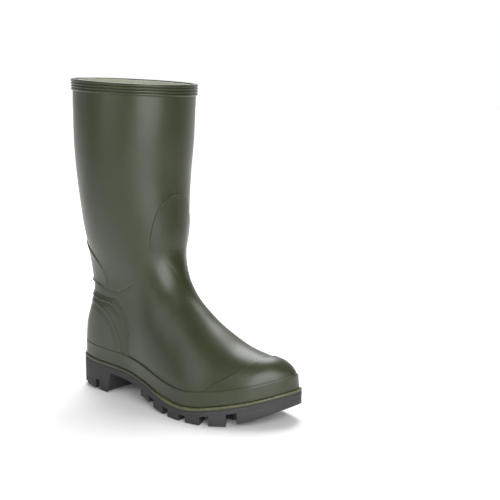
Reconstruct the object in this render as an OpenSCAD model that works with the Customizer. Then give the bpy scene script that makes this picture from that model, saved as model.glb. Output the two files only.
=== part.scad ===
// Rubber rain boot for the right foot, made of bonded rubber plies on a lugged outsole.
// The toe points along +X, the big toe's side is +Y and the leg stands up along +Z.
// The origin is on the floor, under the middle of the boot.

/* [Size] */
// Length of the outsole from heel to toe
sole_length = 300; // [285:5:315]
// Width of the outsole across the ball of the foot
ball_width = 102; // [96:1:108]
// Height of the middle of the rim above the floor
boot_height = 369; // [350:1:390]

/* [Rubber plies] */
// Thickness of the rubber wall
wall = 2.2; // [1.8:0.1:2.4]
// Thickness of a ply bonded on the wall
ply = 1; // [0.8:0.1:1.2]
// Height of the rand, the thick band around the foot
rand_height = 17; // [14:1:19]
// Height of the ribbed band around the top
cuff_height = 12.8; // [10:0.4:16]

/* [Sole] */
// Thickness of the outsole's solid layer under the forefoot
web = 6; // [5:0.5:7]
// Height of the heel block's notches
notch_height = 12.5; // [8:0.5:12.5]
// Distance between two gaps in the tread's edge
lug_pitch = 28.5; // [27:0.5:29]
// Width of a gap in the tread's edge
lug_gap = 10; // [8:0.5:12]
// Thickness of the welt, the ledge under the rand
welt_height = 3.8; // [3:0.2:4]
// Thickness of the loose footbed
footbed_height = 4; // [3:0.5:5]

/* [Lining] */
// Thickness of the knitted lining
lining = 1; // [0.8:0.1:1.2]
// Height of the tape that edges the lining
tape_height = 14; // [10:1:18]

/* [Hidden] */

// The boot is drawn at this reference size, heel at x = 0, and place() turns that into the real size
REF_LENGTH = 300;
REF_BALL = 102;
REF_HEIGHT = 369;
ANKLE_TOP = 180;
MIDDLE_X = 148;

function place_x(x) = (x - MIDDLE_X) * sole_length / REF_LENGTH;
function place_y(y) = y * ball_width / REF_BALL;
function place_z(z) = z <= ANKLE_TOP ? z
    : ANKLE_TOP + (z - ANKLE_TOP) * (boot_height - ANKLE_TOP) / (REF_HEIGHT - ANKLE_TOP);
function place(p) = [place_x(p[0]), place_y(p[1]), place_z(p[2])];

// ---- Smooth curves through a few points ----
function clamp(low, value, high) = min(max(value, low), high);
function smooth_step(a, b, x) = let (t = clamp(0, (x - a) / (b - a), 1)) t * t * (3 - 2 * t);
function slope(t, i) = (t[i + 1][1] - t[i][1]) / (t[i + 1][0] - t[i][0]);
function span(t, i) = t[i + 1][0] - t[i][0];
function knot_slope(t, i) = i == 0 ? slope(t, 0)
    : i == len(t) - 1 ? slope(t, i - 1)
    : (slope(t, i - 1) * span(t, i) + slope(t, i) * span(t, i - 1)) / (span(t, i - 1) + span(t, i));
function segment(t, x, i = 0) = i >= len(t) - 2 || x < t[i + 1][0] ? i : segment(t, x, i + 1);
function spline(t, raw) = let (
        x = clamp(t[0][0], raw, t[len(t) - 1][0]),
        i = segment(t, x),
        h = span(t, i),
        s = (x - t[i][0]) / h)
    (2 * s ^ 3 - 3 * s ^ 2 + 1) * t[i][1] + (s ^ 3 - 2 * s ^ 2 + s) * h * knot_slope(t, i)
    + (3 * s ^ 2 - 2 * s ^ 3) * t[i + 1][1] + (s ^ 3 - s ^ 2) * h * knot_slope(t, i + 1);

// Distance along a list of points, from the first point to each of them
function distances(p, i = 1, sum = [0]) = i >= len(p) ? sum
    : distances(p, i + 1, concat(sum, [sum[i - 1] + norm(p[i] - p[i - 1])]));
function column(p, k, d) = [for (i = [0 : len(p) - 1]) [d[i], p[i][k]]];

// ---- Outline of the sole, as half widths along its length ----
LATERAL = [[0, 0], [10, 30], [30, 37.5], [60, 38.5], [95, 38.5], [130, 45], [165, 53], [195, 57], [225, 56],
    [255, 47], [278, 36], [292, 22], [300, 0]];
MEDIAL = [[0, 0], [10, 28], [30, 35], [60, 36.5], [95, 34], [130, 34], [165, 38], [195, 43], [220, 45],
    [250, 41], [275, 30], [291, 21], [300, 0]];
// Sideways place of the sole's middle line
CENTRE = [[0, 0], [60, 0], [150, -1], [210, -1], [260, 7.5], [300, 19.5]];

// The half widths follow the angle around the sole, so both ends come out round
function around(x) = acos(clamp(-1, 1 - 2 * x / REF_LENGTH, 1));
function by_angle(t) = [for (p = t) [around(p[0]), p[1]]];
LATERAL_ANGLE = by_angle(LATERAL);
MEDIAL_ANGLE = by_angle(MEDIAL);
function half_width(side, x) = max(0, spline(side < 0 ? LATERAL_ANGLE : MEDIAL_ANGLE, around(x)));
function centre_y(x) = spline(CENTRE, x);

OUTLINE_STEPS = 30;
function outline_point(side, x) = [x, centre_y(x) + side * half_width(side, x)];
function outline_x(i) = REF_LENGTH / 2 * (1 - cos(180 * i / OUTLINE_STEPS));
OUTLINE = concat(
    [for (i = [0 : OUTLINE_STEPS]) outline_point(-1, outline_x(i))],
    [for (i = [OUTLINE_STEPS - 1 : -1 : 1]) outline_point(1, outline_x(i))]);
function inset_point(p, i, inset) = let (
        n = len(p),
        t = p[(i + 1) % n] - p[(i + n - 1) % n],
        u = t / norm(t))
    p[i] + inset * [-u[1], u[0]];
function inset_outline(inset) = [for (i = [0 : len(OUTLINE) - 1]) inset_point(OUTLINE, i, inset)];
function place_flat(points) = [for (p = points) [place_x(p[0]), place_y(p[1])]];

// ---- Heights along the sole ----
// Top of the outsole, which rises at the toe and towards the heel
SOLE_TOP = [[0, 38], [40, 34], [80, 31], [120, 25.5], [160, 16.5], [200, 13], [240, 18.5], [270, 25],
    [300, 34]];
// Lowest line of the tread, with the rounded heel edge, the raised waist and the toe spring
TREAD = [[0, 9], [8, 4.5], [30, 2.4], [58, 0], [62, 8], [100, 12], [130, 9], [150, 3], [170, 0], [225, 0],
    [250, 1.5], [275, 9], [300, 20.5]];
function sole_top(x) = spline(SOLE_TOP, x);
function tread_bottom(x) = lookup(x, TREAD);
HEEL_BREAST = 60;
WAIST_WEB = 8;
// Underside of the outsole's solid layer
function web_bottom(x) = x < HEEL_BREAST ? notch_height
    : sole_top(x) - WAIST_WEB - (web - WAIST_WEB) * smooth_step(100, 180, x);

PROFILE_STEP = 12.5;
PROFILE_X = concat([for (x = [-2 : PROFILE_STEP : 298]) x], [302]);
LOW_X = concat([-2, 8, 30, HEEL_BREAST - 0.01, HEEL_BREAST], [for (x = [75 : 15 : 285]) x], [302]);

// Solid between two heights, extruded across the boot. Each height is a function of x
module between(low, high) {
    rotate([90, 0, 0])
        linear_extrude(height = 200, center = true)
            polygon(concat([for (p = low) [place_x(p[0]), p[1]]],
                [for (i = [len(high) - 1 : -1 : 0]) [place_x(high[i][0]), high[i][1]]]));
}
function top_line(offset_z) = [for (x = PROFILE_X) [x, sole_top(x) + offset_z]];
function web_line(offset_z) = [for (x = LOW_X) [x, web_bottom(x) + offset_z]];
function tread_line() = [for (x = LOW_X) [x, tread_bottom(x)]];

// Flat layer that follows the top of the outsole
module layer(low, high, inset) {
    intersection() {
        linear_extrude(height = 80) polygon(place_flat(inset_outline(inset)));
        between(top_line(low), top_line(high));
    }
}

// ---- Side view of the upper ----
FRONT = [[296.5, 38], [296, 56], [291, 61], [280, 69], [262, 73], [240, 79.5], [215, 93], [190, 109],
    [156.5, 138], [142.5, 166], [141, 205], [140.5, 257], [146, 309], [150, 364.5]];
BACK = [[36, 2.5], [55, 2.5], [80, 5], [105, 13.5], [128, 15.5], [150, 11.5], [197, 5], [250, 1.5],
    [302, -2], [374, -2]];
LEG_HALF_WIDTH = [[80, 38], [110, 37.5], [150, 42.5], [206, 54.5], [271, 62.5], [369, 64.3]];
// Height of the instep line, carried on upwards behind the shin
INSTEP_FADE = [[0, 700], [60, 400], [100, 265], [130, 184], [145, 153], [156.5, 138]];
RIM_BACK = 373.5;
CORNER_X = 3.5;
TOE_X = 296.5;

FRONT_STEPS = 90;
FRONT_LENGTHS = distances(FRONT);
FRONT_TOTAL = FRONT_LENGTHS[len(FRONT) - 1];
FRONT_X = column(FRONT, 0, FRONT_LENGTHS);
FRONT_Z = column(FRONT, 1, FRONT_LENGTHS);
function front_at(s) = [spline(FRONT_X, s * FRONT_TOTAL), spline(FRONT_Z, s * FRONT_TOTAL)];
FRONT_SAMPLES = [for (i = [0 : FRONT_STEPS]) concat(front_at(i / FRONT_STEPS), [i / FRONT_STEPS])];
FRONT_BY_Z = [for (p = FRONT_SAMPLES) [p[1], p[0]]];
FRONT_SHARE_BY_Z = [for (p = FRONT_SAMPLES) [p[1], p[2]]];
FRONT_BY_X = [for (i = [FRONT_STEPS : -1 : 0]) if (FRONT_SAMPLES[i][0] > 150 && FRONT_SAMPLES[i][1] < 150)
    [FRONT_SAMPLES[i][0], FRONT_SAMPLES[i][1]]];
function front_x(z) = lookup(z, FRONT_BY_Z);
function back_x(z) = spline(BACK, z);
function instep_z(x) = x < 156.5 ? spline(INSTEP_FADE, x) : lookup(x, FRONT_BY_X);

// ---- Half width of the upper at any place of the side view ----
CROWN_POWER = [[0, 2.6], [120, 2], [170, 1.75], [220, 2], [260, 2.6], [300, 3]];
SIDE_POWER = [[0, 2.2], [170, 1.9], [300, 2.2]];
LEG_POWER = 2.15;
RAND_SHARE = 0.927;
BEND_X = 110;

function sole_x(x, z) = x < BEND_X ? (x - back_x(z)) * BEND_X / (BEND_X - back_x(z))
    : BEND_X + (x - BEND_X) * (REF_LENGTH - BEND_X) / (TOE_X - BEND_X);
function crown(x, z) = let (height = clamp(0, (z - sole_top(x)) / (instep_z(x) - sole_top(x)), 1))
    pow(max(0, 1 - pow(height, spline(CROWN_POWER, x))), 1 / spline(SIDE_POWER, x));
function foot_half(side, x, z) = half_width(side, clamp(0, sole_x(x, z), REF_LENGTH)) * RAND_SHARE * crown(x, z);
function leg_half(x, z) = let (
        middle = (front_x(z) + back_x(z)) / 2,
        reach = (front_x(z) - back_x(z)) / 2,
        share = clamp(0, abs(x - middle) / reach, 1))
    spline(LEG_HALF_WIDTH, z) * pow(max(0, 1 - pow(share, LEG_POWER)), 1 / LEG_POWER);
function skin_y(side, x, z) = let (up = smooth_step(90, 185, z))
    centre_y(x) * (1 - smooth_step(60, 150, z))
    + side * (foot_half(side, x, z) * (1 - up) + leg_half(x, z) * up);

// ---- The upper as a fan of slanted sections, from the toe (0) to the rim (1) ----
HEEL_CORNER = 0.4;
ANKLE_LOW = 0.5;
ANKLE_HIGH = 0.6;
FRONT_SHARE = [[0, 0], [0.15, 0.07], [0.4, 0.3], [ANKLE_LOW, 0.4], [ANKLE_HIGH, 0.553], [1, 1]];
BACK_HEIGHT = [[HEEL_CORNER, 41], [ANKLE_LOW, 117], [ANKLE_HIGH, 142], [1, RIM_BACK]];

function fan_front(u, base) = let (start = lookup(sole_top(TOE_X) + base, FRONT_SHARE_BY_Z))
    front_at(start + (1 - start) * spline(FRONT_SHARE, u));
function fan_bottom(u, base) = let (
        w = u / HEEL_CORNER,
        x = TOE_X - (TOE_X - CORNER_X) * w * (0.75 + 0.25 * w))
    [x, sole_top(x) + base];
function fan_back(u, base) = let (
        low = sole_top(CORNER_X) + base,
        z = RIM_BACK - (RIM_BACK - spline(BACK_HEIGHT, u)) * (RIM_BACK - low) / (RIM_BACK - BACK_HEIGHT[0][1]))
    [back_x(z), z];
function fan_end(u, base) = u <= HEEL_CORNER ? fan_bottom(u, base) : fan_back(u, base);
// Point of the skin on section u, from v = -1 (outer side) over the front to v = 1 (inner side)
function skin(u, v, base) = let (
        t = (1 - cos(180 * abs(v))) / 2,
        p = fan_front(u, base) * (1 - t) + fan_end(u, base) * t)
    place([p[0], skin_y(v < 0 ? -1 : 1, p[0], p[1]), p[1]]);
function skin_grid(rows, columns, base) =
    [for (u = rows) [for (j = [-columns : columns]) skin(u, j / columns, base)]];
function steps(a, b, n) = [for (i = [0 : n]) a + (b - a) * i / n];

// ---- Solid plies from a grid of points ----
// Rows from wrap on are closed rings, whose last point repeats the first.
// The first row of a pointed grid is a single point at the toe
function grid_normal(g, i, j, wrap) = let (
        m = len(g[0]),
        closed = i >= wrap,
        left = j > 0 ? j - 1 : closed ? m - 2 : 0,
        right = j < m - 1 ? j + 1 : closed ? 1 : m - 1,
        across = g[i][right] - g[i][left],
        along = g[min(i + 1, len(g) - 1)][j] - g[max(i - 1, 0)][j],
        n = cross(across, along))
    norm(n) < 0.001 ? [1, 0, 0] : n / norm(n);
function shifted(g, distance, wrap, pointed) = [for (i = [0 : len(g) - 1]) [for (j = [0 : len(g[0]) - 1])
    g[i][j] + distance * (pointed && i == 0 ? [1, 0, 0] : grid_normal(g, i, j, wrap))]];
function point_id(i, j, side, n, m, wrap, pointed) =
    side * n * m + i * m + (pointed && i == 0 ? 0 : i >= wrap && j == m - 1 ? 0 : j);
function quad(a, b, c, d) = concat(a == b || b == c ? [] : [[a, b, c]], a == d || c == d ? [] : [[a, c, d]]);
function flipped(faces) = [for (f = faces) [f[2], f[1], f[0]]];
function sheet_faces(side, n, m, wrap, pointed) = [for (i = [0 : n - 2]) for (j = [0 : m - 2])
    for (f = quad(point_id(i, j, side, n, m, wrap, pointed), point_id(i + 1, j, side, n, m, wrap, pointed),
        point_id(i + 1, j + 1, side, n, m, wrap, pointed), point_id(i, j + 1, side, n, m, wrap, pointed))) f];
function edge_faces(i, j, k, l, n, m, wrap, pointed) = quad(
    point_id(i, j, 0, n, m, wrap, pointed), point_id(k, l, 0, n, m, wrap, pointed),
    point_id(k, l, 1, n, m, wrap, pointed), point_id(i, j, 1, n, m, wrap, pointed));

// One ply: the grid moved out by outer and by inner, with its edges closed
module ply_solid(g, outer, inner, wrap = 1000, pointed = false, floor_base = undef) {
    n = len(g);
    m = len(g[0]);
    outside = shifted(g, outer, wrap, pointed);
    inside = shifted(g, inner, wrap, pointed);
    points = concat([for (row = outside) each row], [for (row = inside) each row]);
    lifted = floor_base == undef ? points
        : [for (p = points) [p[0], p[1],
            max(p[2], sole_top(p[0] * REF_LENGTH / sole_length + MIDDLE_X) + floor_base)]];
    last = [for (j = [0 : m - 2]) for (f = edge_faces(n - 1, j + 1, n - 1, j, n, m, wrap, pointed)) f];
    first = pointed ? []
        : [for (j = [0 : m - 2]) for (f = edge_faces(0, j, 0, j + 1, n, m, wrap, pointed)) f];
    left = [for (i = [0 : n - 2]) if (i < wrap) for (f = edge_faces(i + 1, 0, i, 0, n, m, wrap, pointed)) f];
    right = [for (i = [0 : n - 2]) if (i < wrap)
        for (f = edge_faces(i, m - 1, i + 1, m - 1, n, m, wrap, pointed)) f];
    polyhedron(lifted, concat(sheet_faces(0, n, m, wrap, pointed),
        flipped(sheet_faces(1, n, m, wrap, pointed)), last, first, left, right), convexity = 8);
}

// Patch around the back of the heel, in level rows from the inner side round to the outer side.
// edge gives how far forward each row reaches
function heel_point(k, x_edge, z) = let (x = back_x(z) + (x_edge - back_x(z)) * k * k)
    [x, skin_y(k < 0 ? 1 : -1, x, z), z];
function heel_grid(edge, low, columns, base) = let (
        bottom = edge[0][0],
        top = edge[len(edge) - 1][0])
    [for (e = low) let (share = (e - bottom) / (top - bottom), x_edge = spline(edge, e))
        [for (j = [-columns : columns]) let (
                k = j / columns,
                x = back_x(e) + (x_edge - back_x(e)) * k * k,
                foot = base == undef ? bottom : sole_top(x) + base)
            place(heel_point(k, x_edge, foot + (top - foot) * share))]];

// ---- Ring of the leg at a depth below the rim ----
RING_STEPS = 48;
RIM_SLOPE = 0.058;
function rim_z(x) = REF_HEIGHT + RIM_SLOPE * (75 - x);
function signed_pow(value, power) = sign(value) * pow(abs(value), power);
function leg_ring(depth) = [for (i = [0 : RING_STEPS]) let (
        angle = 360 * i / RING_STEPS + 180,
        z = REF_HEIGHT - depth,
        middle = (front_x(z) + back_x(z)) / 2,
        reach = (front_x(z) - back_x(z)) / 2,
        x = middle + reach * signed_pow(cos(angle), 2 / LEG_POWER),
        y = spline(LEG_HALF_WIDTH, z) * signed_pow(sin(angle), 2 / LEG_POWER))
    place([x, y, rim_z(x) - depth])];

// Ring of the foot at a height above the top of the outsole
RAND_STEPS = 64;
function rand_point(angle, height) = let (
        back = back_x(sole_top(CORNER_X) + height),
        toe = front_x(sole_top(TOE_X) + height),
        x = back + (toe - back) * (1 - cos(angle)) / 2)
    place([x, skin_y(angle <= 180 ? -1 : 1, x, sole_top(x) + height), sole_top(x) + height]);
function rand_ring(height) = [for (i = [0 : RAND_STEPS]) rand_point(360 * i / RAND_STEPS, height)];

// ---- Places of the plies through the wall, measured from the outer skin ----
WALL_OUT = -1;
WALL_IN = WALL_OUT - wall;
BOND = 0.45;
GAP = 0.3;
INNER_GAP = 0.6;
CAP_PLY = 0.7;
STIFFENER = 0.8;
PLY_IN = WALL_OUT + BOND;
PLY_OUT = PLY_IN + ply;
CAP_IN = PLY_OUT + BOND;
CAP_OUT = CAP_IN + CAP_PLY;
STIFF_OUT = WALL_IN - INNER_GAP;
STIFF_IN = STIFF_OUT - STIFFENER;
FOOT_LINING_OUT = STIFF_IN - INNER_GAP;
FOOT_LINING_IN = FOOT_LINING_OUT - lining;
LEG_LINING_OUT = WALL_IN - INNER_GAP;
LEG_LINING_IN = LEG_LINING_OUT - lining;
TAPE_OUT = LEG_LINING_IN - INNER_GAP;
TAPE = 0.7;

// ---- Places of the layers above the outsole ----
SHELL_BASE = 0.6;
MIDSOLE_TOP = 3.3;
BOARD_TOP = 5.6;
LINING_BASE = 6;
SOCK_TOP = 7;
FOOTBED_BASE = SOCK_TOP + GAP;
MIDSOLE_INSET = 13.5;
BOARD_INSET = 10.5;
SOCK_INSET = 12;
FOOTBED_INSET = 16.5;
WELT_WIDTH = 3;
RAND_EXTRA = 0.4;
RAND_BASE = welt_height + 0.4;
PLY_BASE = RAND_BASE + rand_height + 0.8;

// ---- Colours ----
OLIVE = "#4f5540";
OLIVE_DARK = "#464b38";
CHARCOAL = "#2f2c2e";
KNIT = "#b9bdb0";

// ---- Sole ----
HEEL_NOTCHES = [14, 40];
HEEL_NOTCH_WIDTH = 7;
NOTCH_REACH = 17;
GAP_COUNT = 5;
FIRST_GAP = 143;
EDGE_REACH = 21;
TOE_BLOCK = 262;
LUG_START = 118;

module heel_tread() {
    difference() {
        intersection() {
            polygon(place_flat(inset_outline(0)));
            translate([place_x(-5), -80]) square([place_x(HEEL_BREAST) - place_x(-5), 160]);
        }
        translate([place_x(15), -10]) square([place_x(52) - place_x(15), 20]);
        for (side = [-1, 1])
            for (x = HEEL_NOTCHES)
                translate([place_x(x), side * (place_y(40) - NOTCH_REACH / 2)])
                    square([HEEL_NOTCH_WIDTH, NOTCH_REACH + 8], center = true);
    }
}

module edge_tread() {
    difference() {
        polygon(place_flat(inset_outline(0)));
        polygon(place_flat(inset_outline(EDGE_REACH)));
        translate([place_x(-10), -80]) square([place_x(LUG_START) - place_x(-10), 160]);
        for (i = [0 : GAP_COUNT - 1])
            translate([place_x(FIRST_GAP + i * lug_pitch), 0]) square([lug_gap, 160], center = true);
    }
}

module toe_tread() {
    difference() {
        intersection() {
            polygon(place_flat(inset_outline(0)));
            translate([place_x(TOE_BLOCK - 14), -80]) square([80, 160]);
        }
        translate([place_x(236), place_y(4)]) circle(r = 34, $fn = 40);
        for (side = [-1, 1])
            translate([place_x(TOE_BLOCK - 8), side * 40]) square([16, 56], center = true);
    }
}

// Bars that point to the toe
BAR_WIDTH = 9;
BAR_SWEEP = 24;
BAR_COUNT = 5;
module chevron_tread() {
    intersection() {
        polygon(place_flat(inset_outline(EDGE_REACH + 5)));
        for (i = [0 : BAR_COUNT - 1])
            translate([place_x(152 + i * lug_pitch), place_y(centre_y(152 + i * lug_pitch))])
                polygon([[0, 0], [-BAR_SWEEP, -30], [-BAR_SWEEP - BAR_WIDTH, -30], [-BAR_WIDTH, 0],
                    [-BAR_SWEEP - BAR_WIDTH, 30], [-BAR_SWEEP, 30]]);
    }
}

POCKET_INSET = 9;
POCKET_FLOOR = 15;
POCKET_FRONT = 55;
module heel_pocket(clearance) {
    intersection() {
        polygon(place_flat(inset_outline(POCKET_INSET + clearance)));
        translate([place_x(-5), -80]) square([place_x(POCKET_FRONT) - place_x(-5) - clearance, 160]);
    }
}

module outsole() {
    color(CHARCOAL)
    difference() {
        union() {
            intersection() {
                linear_extrude(height = 80) polygon(place_flat(inset_outline(0)));
                between(web_line(0), top_line(0));
            }
            intersection() {
                linear_extrude(height = 40) {
                    heel_tread();
                    edge_tread();
                    toe_tread();
                    chevron_tread();
                }
                between(tread_line(), web_line(1));
            }
        }
        translate([0, 0, POCKET_FLOOR]) linear_extrude(height = 60) heel_pocket(0);
    }
}

module heel_filler() {
    color("#8c7f6a")
    intersection() {
        translate([0, 0, POCKET_FLOOR + GAP]) linear_extrude(height = 60) heel_pocket(GAP);
        between([[-5, 0], [70, 0]], top_line(-0.1));
    }
}

SHANK_FROM = 72;
SHANK_TO = 182;
SHANK_WIDTH = 20;
module shank_plate() {
    color("silver")
    intersection() {
        translate([place_x(SHANK_FROM), -SHANK_WIDTH / 2, 0])
            cube([place_x(SHANK_TO) - place_x(SHANK_FROM), SHANK_WIDTH, 60]);
        between(top_line(0.7), top_line(2.2));
    }
}

module midsole() {
    color("#6f6a5e")
    difference() {
        layer(GAP, MIDSOLE_TOP, MIDSOLE_INSET);
        translate([place_x(SHANK_FROM) - 1, -SHANK_WIDTH / 2 - 1, 0])
            cube([place_x(SHANK_TO) - place_x(SHANK_FROM) + 2, SHANK_WIDTH + 2, 60]);
    }
}

module insole_board() {
    color("#a58f6c") layer(MIDSOLE_TOP + GAP, BOARD_TOP, BOARD_INSET);
}

module sock_lining() {
    color(KNIT) layer(LINING_BASE, SOCK_TOP, SOCK_INSET);
}

module footbed() {
    color("#5c6064") layer(FOOTBED_BASE, FOOTBED_BASE + footbed_height, FOOTBED_INSET);
}

module welt() {
    color(OLIVE)
    difference() {
        layer(0.1, welt_height, 0);
        linear_extrude(height = 80) polygon(place_flat(inset_outline(WELT_WIDTH)));
    }
}

// ---- Upper ----
module rand() {
    color(OLIVE)
        ply_solid([for (h = steps(RAND_BASE, RAND_BASE + rand_height, 3)) rand_ring(h)], PLY_OUT + RAND_EXTRA, PLY_IN, 0);
}

SHELL_COLUMNS = 20;
LINING_COLUMNS = 16;
SOLE_ROWS = 14;
function rest(list) = [for (i = [1 : len(list) - 1]) list[i]];
module foot_shell() {
    rows = concat(steps(0, HEEL_CORNER, SOLE_ROWS), rest(steps(HEEL_CORNER, ANKLE_LOW, 9)));
    color(OLIVE)
        ply_solid(skin_grid(rows, SHELL_COLUMNS, SHELL_BASE), WALL_OUT, WALL_IN, SOLE_ROWS, true, GAP);
}

SEAM = 0.001;
module ankle_section() {
    color(OLIVE_DARK)
        ply_solid(skin_grid(steps(ANKLE_LOW + SEAM, ANKLE_HIGH - SEAM, 4), SHELL_COLUMNS, SHELL_BASE),
            WALL_OUT, WALL_IN, 0);
}

module leg_shell() {
    color(OLIVE)
        ply_solid(skin_grid(steps(ANKLE_HIGH, 1, 14), SHELL_COLUMNS, SHELL_BASE), WALL_OUT, WALL_IN, 0);
}

// Rear edge of the toe cap, as the fan section that it lies on
TOE_CAP_EDGE = [[0, 0.21], [0.5, 0.17], [1, 0.116]];
module toe_cap() {
    color(OLIVE)
        ply_solid([for (w = steps(0, 1, 8)) [for (j = [-10 : 10])
            skin(w * spline(TOE_CAP_EDGE, abs(j / 10)), j / 10, PLY_BASE)]], PLY_OUT, PLY_IN, 1000, true);
}

module toe_stiffener() {
    color("#c9c2ad")
        ply_solid(skin_grid(steps(0, 0.17, 8), 14, LINING_BASE), STIFF_OUT, STIFF_IN, 1000, true, LINING_BASE);
}

COUNTER_EDGE = [[36, 86], [60, 88], [78, 88], [95, 83], [104, 74], [109, 58], [112.5, 32]];
COUNTER_CAP_EDGE = [[36, 77], [60, 78], [78, 75], [92, 64], [101, 48], [106, 28]];
module heel_counter() {
    color(OLIVE)
        ply_solid(heel_grid(COUNTER_EDGE, [36, 50, 65, 78, 88, 95, 101, 106, 110, 112.5], 14, PLY_BASE), PLY_OUT, PLY_IN);
}

module heel_counter_cap() {
    color(OLIVE_DARK)
        ply_solid(heel_grid(COUNTER_CAP_EDGE, [36, 50, 65, 78, 88, 97, 103, 106], 14, PLY_BASE), CAP_OUT, CAP_IN);
}

STIFFENER_BASE = 17;
STIFFENER_EDGE = [[36, 72], [60, 74], [80, 63], [90, 40]];
module heel_stiffener() {
    color("#c9c2ad")
        ply_solid(heel_grid(STIFFENER_EDGE, [36, 48, 60, 72, 82, 90], 16, STIFFENER_BASE), STIFF_OUT, STIFF_IN);
}

STAY_LIFT = 0.35;
BACK_STAY_EDGE = [[117, 54], [138, 58], [150, 54], [161, 47], [171, 34], [176, 22]];
module back_stay() {
    color(OLIVE_DARK)
        ply_solid(heel_grid(BACK_STAY_EDGE, [117, 129, 141, 152, 162, 170, 176], 12, undef),
            PLY_OUT + STAY_LIFT, PLY_IN + STAY_LIFT);
}

// Half width of the shin panel on each fan section
SHIN_EDGE = [[0.606, 0.225], [0.64, 0.18], [0.68, 0.14], [0.705, 0.1], [0.718, 0.06], [0.724, 0.03]];
module shin_panel() {
    color(OLIVE_DARK)
        ply_solid([for (u = [0.606, 0.622, 0.64, 0.66, 0.68, 0.695, 0.708, 0.718, 0.724])
            [for (j = [-6 : 6]) skin(u, j / 6 * spline(SHIN_EDGE, u), SHELL_BASE)]], PLY_OUT, PLY_IN);
}

RIB_COUNT = 4;
RIB_OUT = 1.5;
GROOVE_OUT = 0.5;
CUFF_TOP = 0.4;
// Outer face of the band: round-topped ribs with narrow grooves between them
function rib_depths() = let (pitch = cuff_height / RIB_COUNT)
    [for (i = [0 : RIB_COUNT - 1]) each [[i * pitch, 0], [i * pitch + 0.25 * pitch, 1], [i * pitch + 0.75 * pitch, 1]]];
module top_band() {
    outer = concat(rib_depths(), [[cuff_height, 0]]);
    rings = [for (i = [len(outer) - 1 : -1 : 0]) leg_ring(outer[i][0] - CUFF_TOP)];
    out = [for (i = [len(outer) - 1 : -1 : 0]) outer[i][1] > 0 ? RIB_OUT : GROOVE_OUT];
    n = len(rings);
    m = RING_STEPS;
    face = [for (i = [0 : n - 1]) [for (j = [0 : m - 1]) rings[i][j] + out[i] * grid_normal(rings, i, j, 0)]];
    back = [for (i = [n - 1, 0]) [for (j = [0 : m - 1]) rings[i][j] + PLY_IN * grid_normal(rings, i, j, 0)]];
    all = concat(face, back);
    rows = len(all);
    color(OLIVE_DARK)
        polyhedron([for (row = all) each row], [for (i = [0 : rows - 1]) for (j = [0 : m - 1]) let (
                a = i * m + j,
                b = i * m + (j + 1) % m,
                c = ((i + 1) % rows) * m + (j + 1) % m,
                d = ((i + 1) % rows) * m + j)
            each [[a, d, c], [a, c, b]]], convexity = 8);
}

module foot_lining() {
    rows = concat(steps(0, HEEL_CORNER, SOLE_ROWS), rest(steps(HEEL_CORNER, ANKLE_LOW - SEAM, 6)));
    color(KNIT)
        ply_solid(skin_grid(rows, LINING_COLUMNS, LINING_BASE), FOOT_LINING_OUT, FOOT_LINING_IN, SOLE_ROWS,
            true, LINING_BASE);
}

module ankle_lining() {
    color(KNIT)
        ply_solid(skin_grid(steps(ANKLE_LOW + SEAM, ANKLE_HIGH - SEAM, 3), LINING_COLUMNS, LINING_BASE),
            FOOT_LINING_OUT, FOOT_LINING_IN, 0);
}

LEG_LINING_TOP = 0.995;
module leg_lining() {
    color(KNIT)
        ply_solid(skin_grid(steps(ANKLE_HIGH + SEAM, LEG_LINING_TOP, 7), SHELL_COLUMNS, LINING_BASE),
            LEG_LINING_OUT, LEG_LINING_IN, 0);
}

module lining_tape() {
    color("#9da08f")
        ply_solid([for (d = [tape_height, tape_height / 2, 1]) leg_ring(d)], TAPE_OUT,
            TAPE_OUT - TAPE, 0);
}

outsole();
heel_filler();
shank_plate();
midsole();
insole_board();
sock_lining();
footbed();
welt();
rand();
foot_shell();
ankle_section();
leg_shell();
toe_cap();
heel_counter();
heel_counter_cap();
back_stay();
shin_panel();
top_band();
toe_stiffener();
heel_stiffener();
foot_lining();
ankle_lining();
leg_lining();
lining_tape();
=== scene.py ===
import math

import bmesh
import bpy
import numpy as np
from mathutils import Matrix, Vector


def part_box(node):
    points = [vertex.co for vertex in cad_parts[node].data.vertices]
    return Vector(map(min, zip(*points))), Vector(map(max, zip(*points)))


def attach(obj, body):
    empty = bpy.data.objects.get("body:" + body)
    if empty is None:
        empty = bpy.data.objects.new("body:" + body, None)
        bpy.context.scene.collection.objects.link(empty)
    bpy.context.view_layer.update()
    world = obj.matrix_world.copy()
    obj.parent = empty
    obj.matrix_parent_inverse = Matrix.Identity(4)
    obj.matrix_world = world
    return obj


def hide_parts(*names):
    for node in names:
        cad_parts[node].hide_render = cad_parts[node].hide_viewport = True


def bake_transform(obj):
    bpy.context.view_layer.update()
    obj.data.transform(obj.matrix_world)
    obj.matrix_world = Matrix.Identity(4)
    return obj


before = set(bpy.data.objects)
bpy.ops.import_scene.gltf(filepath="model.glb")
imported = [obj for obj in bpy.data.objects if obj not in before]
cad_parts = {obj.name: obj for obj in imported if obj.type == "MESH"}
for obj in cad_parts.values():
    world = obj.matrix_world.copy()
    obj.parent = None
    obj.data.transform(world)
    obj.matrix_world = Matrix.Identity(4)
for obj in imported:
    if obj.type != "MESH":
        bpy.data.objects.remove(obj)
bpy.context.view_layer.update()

# ---- The boot's shape, in millimetres at the reference size, heel at x = 0 ----
REF_LENGTH = 300
REF_HEIGHT = 369
ANKLE_TOP = 180
RIM_BACK = 373.5
CORNER_X = 3.5
TOE_X = 296.5

SOLE_LOW, SOLE_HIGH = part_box("outsole")
BAND_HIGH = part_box("top_band")[1]
MM = 0.001
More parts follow.
